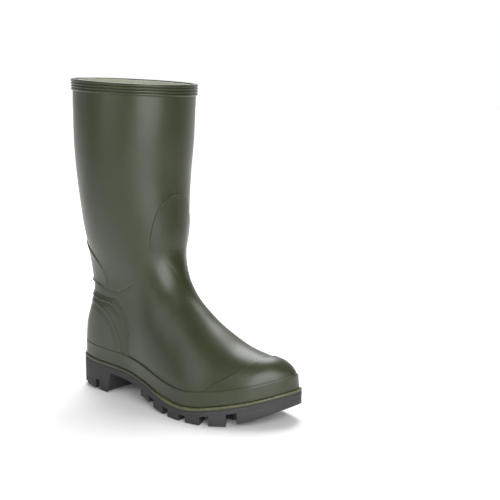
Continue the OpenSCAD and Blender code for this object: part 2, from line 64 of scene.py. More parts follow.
# The rim rises towards the back, and its band stands a little above it
RIM_SLOPE = 0.058
RIM_MIDDLE_X = 75
RIM_BACK_X = -2
RIM_LIP = 0.4
BAND_TOP = REF_HEIGHT + RIM_SLOPE * (RIM_MIDDLE_X - RIM_BACK_X) + RIM_LIP
SCALE_X = (SOLE_HIGH.x - SOLE_LOW.x) / REF_LENGTH
SCALE_Z = (BAND_HIGH.z - ANKLE_TOP * MM) / (BAND_TOP - ANKLE_TOP)


def place(p):
    """Reference millimetres to metres in the frame."""
    p = np.asarray(p, float)
    above = ANKLE_TOP * MM + (p[..., 2] - ANKLE_TOP) * SCALE_Z
    z = np.where(p[..., 2] <= ANKLE_TOP, p[..., 2] * MM, above)
    return np.stack([SOLE_LOW.x + p[..., 0] * SCALE_X, p[..., 1] * MM, z], -1)


def spline(table, x):
    """Smooth curve through the table's points, held level past its ends."""
    table = np.asarray(table, float)
    knots, values = table[:, 0], table[:, 1]
    spans = np.diff(knots)
    slopes = np.diff(values) / spans
    tangents = np.concatenate([slopes[:1],
                               (slopes[:-1] * spans[1:] + slopes[1:] * spans[:-1]) / (spans[:-1] + spans[1:]),
                               slopes[-1:]])
    x = np.clip(np.asarray(x, float), knots[0], knots[-1])
    i = np.clip(np.searchsorted(knots, x, side="right") - 1, 0, len(knots) - 2)
    h = spans[i]
    s = (x - knots[i]) / h
    return ((2 * s**3 - 3 * s**2 + 1) * values[i] + (s**3 - 2 * s**2 + s) * h * tangents[i]
            + (3 * s**2 - 2 * s**3) * values[i + 1] + (s**3 - s**2) * h * tangents[i + 1])


def line(table, x):
    """Straight lines between the table's points."""
    table = np.asarray(table, float)
    return np.interp(x, table[:, 0], table[:, 1])


def smooth_step(a, b, x):
    """0 up to a, 1 from b on, and a soft rise between."""
    t = np.clip((np.asarray(x, float) - a) / (b - a), 0, 1)
    return t * t * (3 - 2 * t)


# Half widths of the sole to the outer and the inner side, and its middle line
LATERAL = [[0, 0], [10, 30], [30, 37.5], [60, 38.5], [95, 38.5], [130, 45], [165, 53], [195, 57], [225, 56],
           [255, 47], [278, 36], [292, 22], [300, 0]]
MEDIAL = [[0, 0], [10, 28], [30, 35], [60, 36.5], [95, 34], [130, 34], [165, 38], [195, 43], [220, 45],
          [250, 41], [275, 30], [291, 21], [300, 0]]
CENTRE = [[0, 0], [60, 0], [150, -1], [210, -1], [260, 7.5], [300, 19.5]]
SOLE_TOP = [[0, 38], [40, 34], [80, 31], [120, 25.5], [160, 16.5], [200, 13], [240, 18.5], [270, 25],
            [300, 34]]
TREAD = [[0, 9], [8, 4.5], [30, 2.4], [58, 0], [62, 8], [100, 12], [130, 9], [150, 3], [170, 0], [225, 0],
         [250, 1.5], [275, 9], [300, 20.5]]


def around(x):
    """Angle round the sole's outline at x, so that its round ends are smooth in it."""
    return np.degrees(np.arccos(np.clip(1 - 2 * np.asarray(x, float) / REF_LENGTH, -1, 1)))


def by_angle(table):
    return [[float(around(x)), width] for x, width in table]


LATERAL_ANGLE = by_angle(LATERAL)
MEDIAL_ANGLE = by_angle(MEDIAL)


def half_width(side, x):
    angle = around(x)
    return np.maximum(0, np.where(side < 0, spline(LATERAL_ANGLE, angle), spline(MEDIAL_ANGLE, angle)))


def centre_y(x):
    return spline(CENTRE, x)


def sole_top(x):
    return spline(SOLE_TOP, x)


def tread_bottom(x):
    return line(TREAD, x)


# Side view of the upper
FRONT = [[296.5, 38], [296, 56], [291, 61], [280, 69], [262, 73], [240, 79.5], [215, 93], [190, 109],
         [156.5, 138], [142.5, 166], [141, 205], [140.5, 257], [146, 309], [150, 364.5]]
BACK = [[36, 2.5], [55, 2.5], [80, 5], [105, 13.5], [128, 15.5], [150, 11.5], [197, 5], [250, 1.5],
        [302, -2], [374, -2]]
LEG_HALF_WIDTH = [[80, 38], [110, 37.5], [150, 42.5], [206, 54.5], [271, 62.5], [369, 64.3]]
INSTEP_FADE = [[0, 700], [60, 400], [100, 265], [130, 184], [145, 153], [156.5, 138]]
INSTEP_X = 156.5
INSTEP_BACK = 150
INSTEP_HIGH = 150

FRONT_POINTS = np.array(FRONT, float)
FRONT_LENGTHS = np.concatenate([[0], np.cumsum(np.linalg.norm(np.diff(FRONT_POINTS, axis=0), axis=1))])
FRONT_TOTAL = FRONT_LENGTHS[-1]


def front_at(share):
    """Point x, z of the front line at a share of its length."""
    x, z = [spline(np.stack([FRONT_LENGTHS, FRONT_POINTS[:, k]], 1), share * FRONT_TOTAL) for k in (0, 1)]
    return np.minimum(x, TOE_X), z


FRONT_SAMPLES = 361
FRONT_SHARES = np.linspace(0, 1, FRONT_SAMPLES)
FRONT_XS, FRONT_ZS = front_at(FRONT_SHARES)
INSTEP = (FRONT_XS > INSTEP_BACK) & (FRONT_ZS < INSTEP_HIGH)
INSTEP_XS = FRONT_XS[INSTEP][::-1]
INSTEP_ZS = FRONT_ZS[INSTEP][::-1]


def front_x(z):
    return np.interp(z, FRONT_ZS, FRONT_XS)


def back_x(z):
    return spline(BACK, z)


def instep_z(x):
    return np.where(x < INSTEP_X, spline(INSTEP_FADE, x), np.interp(x, INSTEP_XS, INSTEP_ZS))


CROWN_POWER = [[0, 2.6], [120, 2], [170, 1.75], [220, 2], [260, 2.6], [300, 3]]
SIDE_POWER = [[0, 2.2], [170, 1.9], [300, 2.2]]
LEG_POWER = 2.15
RAND_SHARE = 0.927
BEND_X = 110


def sole_x(x, z):
    """Place along the sole's outline that a point of the upper stands over."""
    back = back_x(z)
    return np.where(x < BEND_X, (x - back) * BEND_X / (BEND_X - back),
                    BEND_X + (x - BEND_X) * (REF_LENGTH - BEND_X) / (TOE_X - BEND_X))


def crown(x, z):
    """Share of the sole's half width that the foot has at height z."""
    height = np.clip((z - sole_top(x)) / (instep_z(x) - sole_top(x)), 0, 1)
    return np.maximum(0, 1 - height ** spline(CROWN_POWER, x)) ** (1 / spline(SIDE_POWER, x))


def foot_half(side, x, z):
    return half_width(side, np.clip(sole_x(x, z), 0, REF_LENGTH)) * RAND_SHARE * crown(x, z)


LEG_BLEND = (90, 185)
CENTRE_BLEND = (60, 150)


def leg_half(x, z):
    middle = (front_x(z) + back_x(z)) / 2
    reach = (front_x(z) - back_x(z)) / 2
    share = np.clip(np.abs(x - middle) / reach, 0, 1)
    return spline(LEG_HALF_WIDTH, z) * np.maximum(0, 1 - share**LEG_POWER) ** (1 / LEG_POWER)


def skin_y(side, x, z):
    """Side of the outer skin, foot below and leg above."""
    up = smooth_step(*LEG_BLEND, z)
    half = foot_half(side, x, z) * (1 - up) + leg_half(x, z) * up
    return centre_y(x) * (1 - smooth_step(*CENTRE_BLEND, z)) + side * half


# The upper as a fan of slanted sections, from the toe (0) to the rim (1)
HEEL_CORNER = 0.4
ANKLE_LOW = 0.5
ANKLE_HIGH = 0.6
FRONT_SHARE = [[0, 0], [0.15, 0.07], [0.4, 0.3], [ANKLE_LOW, 0.4], [ANKLE_HIGH, 0.553], [1, 1]]
BACK_HEIGHT = [[HEEL_CORNER, 41], [ANKLE_LOW, 117], [ANKLE_HIGH, 142], [1, RIM_BACK]]
TOE_PACE = 0.75
SKIN_BASE = 0.6


def skin(u, v, base):
    """Points of the outer skin on section u, from v = -1 on the outer side over the front to v = 1.
    base is the height of the skin's lower edge above the sole."""
    u, v = np.broadcast_arrays(np.asarray(u, float), np.asarray(v, float))
    t = (1 - np.cos(np.pi * np.abs(v))) / 2
    start = np.interp(sole_top(TOE_X) + base, FRONT_ZS, FRONT_SHARES)
    fx, fz = front_at(start + (1 - start) * spline(FRONT_SHARE, u))
    w = np.minimum(u / HEEL_CORNER, 1)
    bottom_x = TOE_X - (TOE_X - CORNER_X) * w * (TOE_PACE + (1 - TOE_PACE) * w)
    low = sole_top(CORNER_X) + base
    span = RIM_BACK - BACK_HEIGHT[0][1]
    back_z = RIM_BACK - (RIM_BACK - spline(BACK_HEIGHT, u)) * (RIM_BACK - low) / span
    on_sole = u <= HEEL_CORNER
    ex = np.where(on_sole, bottom_x, back_x(back_z))
    ez = np.where(on_sole, sole_top(bottom_x) + base, back_z)
    x = fx * (1 - t) + ex * t
    z = fz * (1 - t) + ez * t
    return np.stack([x, skin_y(np.where(v < 0, -1, 1), x, z), z], -1)


# ---- Meshes from grids of points ----
TINY = 0.000001
LEVEL_TINY = 0.00001
WELD_GAP = 0.000002


def grid_normals(grid, wrap, pointed):
    """Outward unit normals. Rows from wrap on are closed rings whose last point repeats the first."""
    rows, columns = grid.shape[:2]
    left = np.concatenate([grid[:, :1], grid[:, :-1]], 1)
    right = np.concatenate([grid[:, 1:], grid[:, -1:]], 1)
    left[wrap:, 0] = grid[wrap:, columns - 2]
    right[wrap:, columns - 1] = grid[wrap:, 1]
    along = np.concatenate([grid[1:], grid[-1:]]) - np.concatenate([grid[:1], grid[:-1]])
    normals = np.cross(right - left, along)
    lengths = np.linalg.norm(normals, axis=-1, keepdims=True)
    normals = np.where(lengths < TINY, np.array([1.0, 0, 0]), normals / np.maximum(lengths, TINY))
    if pointed:
        normals[0] = [1, 0, 0]
    return normals


def grid_faces(rows, columns, start, flip):
    """Corner numbers of a grid's faces, whose first point has the number start."""
    i, j = np.meshgrid(np.arange(rows - 1), np.arange(columns - 1), indexing="ij")
    a = (start + i * columns + j).ravel()
    corners = np.stack([a, a + 1, a + columns + 1, a + columns], 1)
    return corners[:, ::-1] if flip else corners


def new_object(name, points, faces, material, uv=None, sharp=40):
    """A welded mesh object of points in metres."""
    mesh = bpy.data.meshes.new(name)
    mesh.from_pydata(np.asarray(points, float).tolist(), [], [list(map(int, f)) for f in faces])
    if uv is not None:
        layer = mesh.uv_layers.new(name="weave")
        loops = np.zeros(len(mesh.loops), np.int32)
        mesh.loops.foreach_get("vertex_index", loops)
        layer.data.foreach_set("uv", np.asarray(uv, float)[loops].astype(np.float32).ravel())
    weld(mesh)
    mesh.materials.append(material)
    mesh.polygons.foreach_set("use_smooth", [True] * len(mesh.polygons))
    mesh.set_sharp_from_angle(angle=math.radians(sharp))
    piece = bpy.data.objects.new(name, mesh)
    bpy.context.scene.collection.objects.link(piece)
    return piece


def weld(mesh):
    """Joins points that meet, removes empty faces and turns all faces outwards."""
    edit = bmesh.new()
    edit.from_mesh(mesh)
    bmesh.ops.remove_doubles(edit, verts=edit.verts, dist=WELD_GAP)
    bmesh.ops.dissolve_degenerate(edit, edges=edit.edges, dist=WELD_GAP)
    bmesh.ops.recalc_face_normals(edit, faces=edit.faces)
    edit.to_mesh(mesh)
    edit.free()


def boundary_strip(rows, columns, wrap, pointed, inner_start):
    """Faces that join the edge of the outer grid to the edge of the inner grid."""
    def at(i, j):
        return i * columns + j
    edge = [(at(rows - 1, j + 1), at(rows - 1, j)) for j in range(columns - 1)]
    if not pointed:
        edge += [(at(0, j), at(0, j + 1)) for j in range(columns - 1)]
    last = min(wrap, rows - 1)
    edge += [(at(i + 1, 0), at(i, 0)) for i in range(last)]
    edge += [(at(i, columns - 1), at(i + 1, columns - 1)) for i in range(last)]
    return [(b, a, a + inner_start, b + inner_start) for a, b in edge]


def grid_uv(grid):
    """Metric texture coordinates: distance across each row from its middle, and along the columns."""
    across = np.concatenate([np.zeros((grid.shape[0], 1)),
                             np.cumsum(np.linalg.norm(np.diff(grid, axis=1), axis=-1), 1)], 1)
    across -= across[:, across.shape[1] // 2][:, None]
    along = np.concatenate([np.zeros((1, grid.shape[1])),
                            np.cumsum(np.linalg.norm(np.diff(grid, axis=0), axis=-1), 0)], 0)
    return np.stack([across, np.broadcast_to(along.mean(1, keepdims=True), across.shape)], -1)


def sheet(name, sides, rows, wrap, pointed, material, uv=None):
    """A closed mesh from the points of an outer and an inner grid, in metres."""
    count = len(sides[0])
    columns = count // rows
    faces = np.concatenate([grid_faces(rows, columns, 0, False), grid_faces(rows, columns, count, True),
                            np.array(boundary_strip(rows, columns, wrap, pointed, count))])
    return new_object(name, np.concatenate(sides), faces, material, uv)


def ply(name, grid, outer, inner, material, wrap=10000, pointed=False, floor=None):
    """A closed sheet of material: the grid moved out by outer and by inner, both in millimetres."""
    grid = place(grid)
    normals = grid_normals(grid, wrap, pointed)
    rows = len(grid)
    sides = []
    for offset in (outer, inner):
        side = grid + normals * (np.asarray(offset, float) * MM)[..., None]
        if floor is not None:
            low = (sole_top((side[..., 0] - SOLE_LOW.x) / SCALE_X) + floor) * MM
            side[..., 2] = np.maximum(side[..., 2], low)
        sides.append(side.reshape(-1, 3))
    uv = grid_uv(grid).reshape(-1, 2)
    return sheet(name, sides, rows, wrap, pointed, material, np.concatenate([uv, uv]))


def ring_faces(rings, count, closed):
    """Corner numbers of the faces between rings of points, and from the last ring to the first if closed."""
    i, j = np.meshgrid(np.arange(rings if closed else rings - 1), np.arange(count), indexing="ij")
    after = (i + 1) % rings
    beside = (j + 1) % count
    faces = np.stack([i * count + j, i * count + beside, after * count + beside, after * count + j], -1)
    return faces.reshape(-1, 4)


def loops_solid(name, loops, material, sharp, uv=None):
    """A solid from closed loops of points in metres, each joined to the next, and the last to the first."""
    loops = np.asarray(loops, float)
    faces = ring_faces(*loops.shape[:2], True)
    lengths = np.concatenate([[0], np.cumsum(np.linalg.norm(np.diff(loops[0], axis=0), axis=1))])
    heights = np.concatenate([[0], np.cumsum(np.linalg.norm(np.diff(loops[:, 0], axis=0), axis=1))])
    if uv is None:
        uv = np.stack(np.broadcast_arrays(lengths[None, :], heights[:, None]), -1)
    return new_object(name, loops.reshape(-1, 3), faces, material, uv.reshape(-1, 2), sharp)


# ---- Materials ----
def wire(tree, node, values):
    """Gives each named input of a node its value, which is a socket or a constant."""
    for key, value in values.items():
        if isinstance(value, bpy.types.NodeSocket):
            tree.links.new(value, node.inputs[key])
        else:
            node.inputs[key].default_value = value


def add(tree, kind, **values):
    """A shader node. Its values are inputs where it has them, and settings otherwise."""
    node = tree.nodes.new("ShaderNode" + kind)
    for key, value in values.items():
        if key in node.inputs:
            wire(tree, node, {key: value})
        else:
            setattr(node, key, value)
    return node


def noise(tree, vector, scale, detail=3.0, roughness=0.5):
    node = add(tree, "TexNoise", Vector=vector, Scale=scale, Detail=detail, Roughness=roughness)
    return node.outputs["Fac"]


def ramp(tree, value, low, high, start=0.0, end=1.0):
    """low where value is start or less, high where it is end or more, and even between."""
    span = {"From Min": start, "From Max": end, "To Min": low, "To Max": high}
    return add(tree, "MapRange", Value=value, clamp=True, **span).outputs["Result"]


def mix(tree, factor, a, b):
    """Colour a where factor is 0 and b where it is 1. Either may be a colour or a socket."""
    node = tree.nodes.new("ShaderNodeMix")
    node.data_type = "RGBA"
    ends = [value if isinstance(value, bpy.types.NodeSocket) else (*value, 1) for value in (a, b)]
    wire(tree, node, {0: factor, 6: ends[0], 7: ends[1]})
    return node.outputs[2]


def along(tree, vector, axis):
    """How far a vector reaches along an axis."""
    node = add(tree, "VectorMath", operation="DOT_PRODUCT")
    wire(tree, node, {0: vector, 1: axis})
    return node.outputs["Value"]


def bump(tree, height, distance, strength, normal=None):
    node = add(tree, "Bump", Strength=strength, Distance=distance, Height=height)
    if normal is not None:
        tree.links.new(normal, node.inputs["Normal"])
    return node.outputs["Normal"]


def new_material(name, **constants):
    material = bpy.data.materials.new(name)
    material.use_nodes = True
    tree = material.node_tree
    shader = tree.nodes["Principled BSDF"]
    wire(tree, shader, constants)
    coordinates = add(tree, "TexCoord")
    return material, tree, shader, coordinates


def rubber(name, dark, light, wear, smooth, rough, grain, grain_depth, specular=0.5, knurl_and_highlight=None):
    """Moulded rubber: mottled colour, faint scuffs, uneven sheen and a fine grain.
    The last argument, if given, is a painted highlight colour laid on raised knurls, where the map "weave"
    says how raised they are."""
    material, tree, shader, coordinates = new_material(name)
    shader.inputs["Specular IOR Level"].default_value = specular
    where = coordinates.outputs["Object"]
    clouds = ramp(tree, noise(tree, where, 14, 4), 0, 1, 0.35, 0.65)
    colour = mix(tree, clouds, dark, light)
    scuffs = ramp(tree, noise(tree, where, 75, 8, 0.65), 0, 0.22, 0.6, 0.78)
    colour = mix(tree, scuffs, colour, wear)
    if knurl_and_highlight is not None:
        # Painted highlight: the colour turns to the highlight colour where the knurls are raised.
        split = add(tree, "SeparateXYZ", Vector=add(tree, "UVMap", uv_map="weave").outputs["UV"])
        colour = mix(tree, ramp(tree, split.outputs[0], 0, 1, 0.3, 0.9), colour, knurl_and_highlight)
    sheen = ramp(tree, noise(tree, where, 32, 5), smooth, rough, 0.3, 0.7)
    waves = bump(tree, noise(tree, where, 22, 2), 0.0006, 0.12)
    relief = bump(tree, noise(tree, where, grain, 2), grain_depth, 0.3, waves)
    wire(tree, shader, {"Base Color": colour, "Roughness": sheen, "Normal": relief})
    return material


def fabric(name, dark, light, across, along, depth, roughness):
    """Knitted or woven cloth: threads that follow the piece's own directions."""
    material, tree, shader, coordinates = new_material(name, Roughness=roughness)
    shader.inputs["Specular IOR Level"].default_value = 0.2
    shader.inputs["Sheen Weight"].default_value = 0.3
    thread_map = add(tree, "UVMap", uv_map="weave").outputs["UV"]
    waves = []
    for direction, scale in (("X", across), ("Y", along)):
        wave = add(tree, "TexWave", Vector=thread_map, Scale=scale, Distortion=0.6, Detail=1.0,
                   bands_direction=direction)
        waves.append(wave.outputs["Fac"])
    product = add(tree, "Math", operation="MULTIPLY")
    wire(tree, product, dict(enumerate(waves)))
    threads = product.outputs[0]
    where = coordinates.outputs["Object"]
    colour = mix(tree, ramp(tree, threads, 0, 1, 0.0, 0.6), dark, light)
    flecks = ramp(tree, noise(tree, where, 160, 5, 0.6), 0, 0.5, 0.45, 0.7)
    fuzz = bump(tree, noise(tree, where, 900, 3), 0.0002, 0.25)
    wire(tree, shader, {"Base Color": mix(tree, flecks, colour, dark),
                        "Normal": bump(tree, threads, depth, 0.5, fuzz)})
    return material


def felt(name, dark, light):
    """Needled fibres without a direction."""
    material, tree, shader, coordinates = new_material(name, Roughness=0.92)
    shader.inputs["Specular IOR Level"].default_value = 0.15
    shader.inputs["Sheen Weight"].default_value = 0.4
    where = coordinates.outputs["Object"]
    fibres = noise(tree, where, 420, 7, 0.75)
    colour = mix(tree, ramp(tree, fibres, 0, 1, 0.3, 0.7), dark, light)
    pressed = ramp(tree, noise(tree, where, 24, 3), 0, 0.5, 0.4, 0.7)
    wire(tree, shader, {"Base Color": mix(tree, pressed, colour, dark),
                        "Normal": bump(tree, fibres, 0.0005, 0.6)})
    return material


def plain(name, dark, light, grain, low, high, metallic=0.0, stretch=(1, 1, 1)):
    """Board, foam, stiffener or steel: grain that may be stretched along one direction."""
    material, tree, shader, coordinates = new_material(name, Metallic=metallic)
    mapping = add(tree, "Mapping", Vector=coordinates.outputs["Object"], Scale=stretch)
    fibres = noise(tree, mapping.outputs["Vector"], grain, 5, 0.6)
    wire(tree, shader, {"Base Color": mix(tree, ramp(tree, fibres, 0, 1, 0.3, 0.7), dark, light),
                        "Roughness": ramp(tree, fibres, low, high, 0.3, 0.7),
                        "Normal": bump(tree, fibres, 0.0002, 0.3)})
    return material


OLIVE = rubber("olive_rubber", (0.023, 0.029, 0.012), (0.028, 0.034, 0.015), (0.046, 0.053, 0.031),
               0.32, 0.39, 1400, 0.00004)
# The welt's last colour is a painted highlight on its knurls.
WELT = rubber("welt_rubber", (0.036, 0.041, 0.021), (0.044, 0.050, 0.026), (0.062, 0.070, 0.044),
              0.42, 0.52, 1400, 0.00005, knurl_and_highlight=(0.17, 0.17, 0.075))
SOLE = rubber("sole_rubber", (0.026, 0.024, 0.026), (0.034, 0.032, 0.034), (0.07, 0.068, 0.07),
              0.58, 0.7, 900, 0.0001, 0.4)
KNIT = fabric("knit_lining", (0.40, 0.41, 0.35), (0.66, 0.67, 0.60), 70, 110, 0.0004, 0.85)
TAPE = fabric("tape", (0.30, 0.32, 0.25), (0.47, 0.49, 0.40), 160, 160, 0.0003, 0.8)
FELT = felt("footbed_felt", (0.10, 0.11, 0.12), (0.19, 0.20, 0.21))
FOAM = plain("foam", (0.16, 0.14, 0.11), (0.25, 0.23, 0.18), 600, 0.8, 0.95)
BOARD = plain("board", (0.34, 0.24, 0.14), (0.48, 0.36, 0.22), 260, 0.7, 0.85, stretch=(0.25, 1, 1))
STIFFENER = plain("stiffener", (0.45, 0.41, 0.32), (0.60, 0.55, 0.44), 500, 0.6, 0.8)
STEEL = plain("shank_steel", (0.42, 0.43, 0.45), (0.60, 0.61, 0.63), 380, 0.28, 0.45, 1.0, (0.05, 1, 1))

# ---- Layers of the boot, measured in millimetres from the outer skin ----
WALL_OUT = -0.3
WALL_IN = -3.2
PLY_IN = -0.9
THINNEST_PLY = 0.3


def columns(count):
    """Places across the fan's sections, with count steps on each side of the middle."""
    return np.linspace(-1, 1, 2 * count + 1)


# Line across the ankle, below which the leg's ply stands proud
ANKLE_LINE = [[10, 134], [28, 133], [47, 129.5], [66, 127], [81, 127], [95, 132], [104, 138], [112, 145]]
ANKLE_RISE = 0.75
ANKLE_DIP = 0.35
ANKLE_FADE_UP = 16
ANKLE_FADE_FRONT = (92, 112)
ANKLE_HALVINGS = 24


def ankle_step(p):
    """Height of the step along the ankle line, in millimetres, fading to the front and upwards."""
    above = p[..., 2] - line(ANKLE_LINE, p[..., 0])
    rise = smooth_step(-0.5, 0.5, above) * (1 - smooth_step(0.5, ANKLE_FADE_UP, above))
    dip = -ANKLE_DIP * smooth_step(-5, -0.5, above) * (1 - smooth_step(-0.5, 0.3, above))
    return (ANKLE_RISE * rise + dip) * (1 - smooth_step(*ANKLE_FADE_FRONT, p[..., 0]))


def ankle_fan(v):
    """Fan section on which the ankle line lies in each column, found by halving."""
    low = np.full(v.shape, ANKLE_LOW)
    high = np.full(v.shape, ANKLE_HIGH)
    for _ in range(ANKLE_HALVINGS):
        middle = (low + high) / 2
        p = skin(middle, v, SKIN_BASE)
        below = p[..., 2] < line(ANKLE_LINE, p[..., 0])
        low = np.where(below, middle, low)
        high = np.where(below, high, middle)
    return (low + high) / 2


# Rows from the toe to the heel's corner, to just below the ankle line, across it, and up the leg
TOE_ROWS = 64
TOE_CLOSING = 1.15
HEEL_ROWS = 22
HEEL_END = 0.94
CLOSING_ROWS = [0.955, 0.968, 0.978, 0.986, 0.993]
STEP_END = 1.007
LEG_ROWS = 74
LEG_CLOSING = 1.1


def upper_rows(v):
    """Rows of the upper. They close up beside the ankle line."""
    fan = ankle_fan(v)[None, :]
    toe = np.linspace(0, HEEL_CORNER, TOE_ROWS)[:, None]
    toe = HEEL_CORNER * (toe / HEEL_CORNER) ** TOE_CLOSING
    share = np.concatenate([np.linspace(0, HEEL_END, HEEL_ROWS)[1:], CLOSING_ROWS])[:, None]
    below = HEEL_CORNER + (fan - HEEL_CORNER) * share
    step = np.concatenate([np.linspace(CLOSING_ROWS[-1], 1.0, 5)[1:-1], np.linspace(1, STEP_END, 5)])[:, None]
    beside = HEEL_CORNER + (fan - HEEL_CORNER) * step
    rise = np.linspace(0, 1, LEG_ROWS)[1:, None] ** LEG_CLOSING
    start = HEEL_CORNER + (fan - HEEL_CORNER) * STEP_END
    above = start + (1 - start) * rise
    wide = np.ones_like(fan)
    return np.concatenate([toe * wide, below, beside, above]), len(toe) - 1


UPPER_COLUMNS = 72
UPPER_FLOOR = 0.3


def make_upper():
    """The wall of foot, ankle and leg, which bends at the ankle."""
    v = columns(UPPER_COLUMNS)
    u, wrap = upper_rows(v)
    grid = skin(u, np.broadcast_to(v, u.shape), SKIN_BASE)
    outer = WALL_OUT + ankle_step(grid)
    piece = ply("upper", grid, outer, WALL_IN, OLIVE, wrap, True, UPPER_FLOOR)
    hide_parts("foot_shell", "ankle_section", "leg_shell")
    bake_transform(piece)


LINING_COLUMNS = 32
LINING_TOE_ROWS = 26
LINING_LEG_ROWS = 44
LINING_TOP = 0.995
LINING_BASE = 6
LINING_FOOT = -5.2
LINING_LEG_GAIN = 1.4
LINING_THICKNESS = 1


def make_lining():
    """The knit inside the wall. It lies closer to the wall in the leg, where there is no stiffener."""
    v = columns(LINING_COLUMNS)
    rows = np.concatenate([np.linspace(0, HEEL_CORNER, LINING_TOE_ROWS),
                           np.linspace(HEEL_CORNER, LINING_TOP, LINING_LEG_ROWS)[1:]])
    grid = skin(rows[:, None], v[None, :], LINING_BASE)
    high = smooth_step(ANKLE_LOW, ANKLE_HIGH + 0.1, rows)[:, None] * np.ones((1, len(v)))
    outer = LINING_FOOT + LINING_LEG_GAIN * high
    piece = ply("lining", grid, outer, outer - LINING_THICKNESS, KNIT, LINING_TOE_ROWS - 1, True,
                LINING_BASE)
    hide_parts("foot_lining", "ankle_lining", "leg_lining")
    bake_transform(piece)


# Height of a ply's outer face against the distance inside its edge line, both in millimetres.
# Distances below zero are outside the line, where the lip sinks into the wall
RAISED_EDGE = [[-0.7, -1.4], [0, -0.6], [0.4, 0.45], [0.9, 0.85], [3, 0.7], [9, 0.5]]
SUNK_EDGE = [[-10, -1.4], [-7, -0.3], [-3, 0.5], [-1, 1.15], [-0.4, 1.1], [0.5, -0.15], [1.5, -0.2],
             [4.5, 0.15], [9, 0.5]]
SUNK_CAP_EDGE = [[-5, 0.3], [-2.2, 0.75], [-0.8, 1.15], [-0.3, 1.1], [0.5, 0.35], [1.4, 0.3], [4, 0.6],
                 [8, 0.9]]


def closed_curve(points, count, units):
    """Smooth closed line through the points, evenly divided, with its first point repeated at the end.
    units are the rough lengths in millimetres of the two parameters' units."""
    points = np.array(points + points[:1], float)
    lengths = np.concatenate([[0], np.cumsum(np.linalg.norm(np.diff(points, axis=0) * units, axis=1))])
    wrapped = np.concatenate([lengths[-4:-1] - lengths[-1], lengths, lengths[1:4] + lengths[-1]])
    around_twice = np.concatenate([points[-4:-1], points, points[1:4]])
    at = np.linspace(0, lengths[-1], count + 1)
    return np.stack([spline(np.stack([wrapped, around_twice[:, k]], 1), at) for k in range(2)], 1)


PAST_EDGE = 1.3
DEEPEST_SHARE = 0.6
SHALLOWEST = 0.3
INNER_RINGS = 26
EDGE_RINGS = 24
SLOPE_RINGS = 9
SLOPE_START = 2


def patch_rings(surface, edge, centre, profile):
    """Places of the rings of a patch, and how far each lies inside the edge line, measured square to it."""
    away = edge - centre
    trial = np.linspace(0, PAST_EDGE, 200)
    on_way = centre[None] + away[None] * trial[:, None, None]
    on_way = surface(on_way[..., 0], on_way[..., 1])
    lengths = np.linalg.norm(np.diff(on_way, axis=0), axis=-1)
    lengths = np.concatenate([np.zeros((1, len(edge))), np.cumsum(lengths, 0)])
    reach = np.array([np.interp(1, trial, column) for column in lengths.T])
    line_3d = surface(edge[:, 0], edge[:, 1])
    tangent = np.gradient(line_3d, axis=0)
    radial = line_3d - surface(*(centre + away * 0.98).T)
    slant = np.linalg.norm(np.cross(tangent, radial), axis=1)
    slant /= np.linalg.norm(tangent, axis=1) * np.linalg.norm(radial, axis=1)
    stretch = 1 / np.clip(slant, SHALLOWEST, 1)
    depth = np.minimum(profile[-1][0] * stretch, DEEPEST_SHARE * reach)
    stops = np.concatenate([np.linspace(profile[0][0], SLOPE_START, EDGE_RINGS),
                            np.linspace(SLOPE_START, profile[-1][0], SLOPE_RINGS)[1:]])[::-1]
    distance = np.minimum(stops[:, None] * stretch, DEEPEST_SHARE * reach)
    inner = reach - (reach - depth) * np.linspace(0, 1, INNER_RINGS)[:-1, None]
    distance = np.concatenate([inner, distance])
    shares = np.stack([np.interp(reach[k] - distance[:, k], lengths[:, k], trial)
                       for k in range(len(edge))], 1)
    return centre[None] + away[None] * shares[..., None], distance / stretch


def patch_normals(surface, places, steps, inside):
    """Unit normals of the surface at places, turned away from the point inside."""
    a, b = places[..., 0], places[..., 1]
    normals = np.cross(surface(a + steps[0], b) - surface(a - steps[0], b),
                       surface(a, b + steps[1]) - surface(a, b - steps[1]))
    normals /= np.maximum(np.linalg.norm(normals, axis=-1, keepdims=True), TINY)
    outward = np.sum(normals * (surface(a, b) - np.asarray(inside, float)), -1, keepdims=True)
    return np.where(outward < 0, -normals, normals)


def edge_patch(name, surface, edge, centre, profile, material, steps, inside, closed=True, fade=None):
    """A ply inside an edge line. edge and centre are places in the plane of the surface's two parameters.
    Every ring between the centre and the edge has the height that profile gives."""
    edge = np.asarray(edge, float)
    centre = np.broadcast_to(np.asarray(centre, float), edge.shape)
    places, distance = patch_rings(surface, edge, centre, profile)
    points = surface(places[..., 0], places[..., 1])
    normals = patch_normals(surface, places, steps, inside)
    if closed:
        normals[0] = normals[1].mean(0)
    outer = line(profile, distance)
    if fade is not None:
        outer = profile[0][1] + (outer - profile[0][1]) * fade(points)
    inner_side = np.minimum(PLY_IN, outer - THINNEST_PLY)
    sides = [place(points + normals * offset[..., None]).reshape(-1, 3) for offset in (outer, inner_side)]
    return sheet(name, sides, len(points), 0 if closed else len(points), True, material)


# ---- Back of the heel, in level rows. across runs round the back, from -1 to 1 at HEEL_FRONT ----
HEEL_FRONT = BEND_X
INSIDE_HEEL = (60, 0, 90)
INSIDE_ANKLE = (60, 0, 150)
COUNTER_CENTRE = (0, 80)
CAP_CENTRE = (0, 78)
STAY_CENTRE = (0, 150)
HEEL_STEPS = (0.003, 0.3)
HEEL_UNITS = (100, 1)
HEEL_EDGE_POINTS = 260


def heel_surface(across, z):
    x = back_x(z) + (HEEL_FRONT - back_x(z)) * across**2
    return np.stack([x, skin_y(np.where(across < 0, 1, -1), x, z), z], -1)


def heel_edge(side_line):
    """Closed edge from one side's line of x and z, which starts and ends at the middle of the back."""
    def across(x, z):
        return math.sqrt(max(0, (x - float(back_x(z))) / (HEEL_FRONT - float(back_x(z)))))
    one = [[across(x, z), z] for x, z in side_line]
    other = [[-k, z] for k, z in one[-2:0:-1]]
    return closed_curve(one + other, HEEL_EDGE_POINTS, HEEL_UNITS)


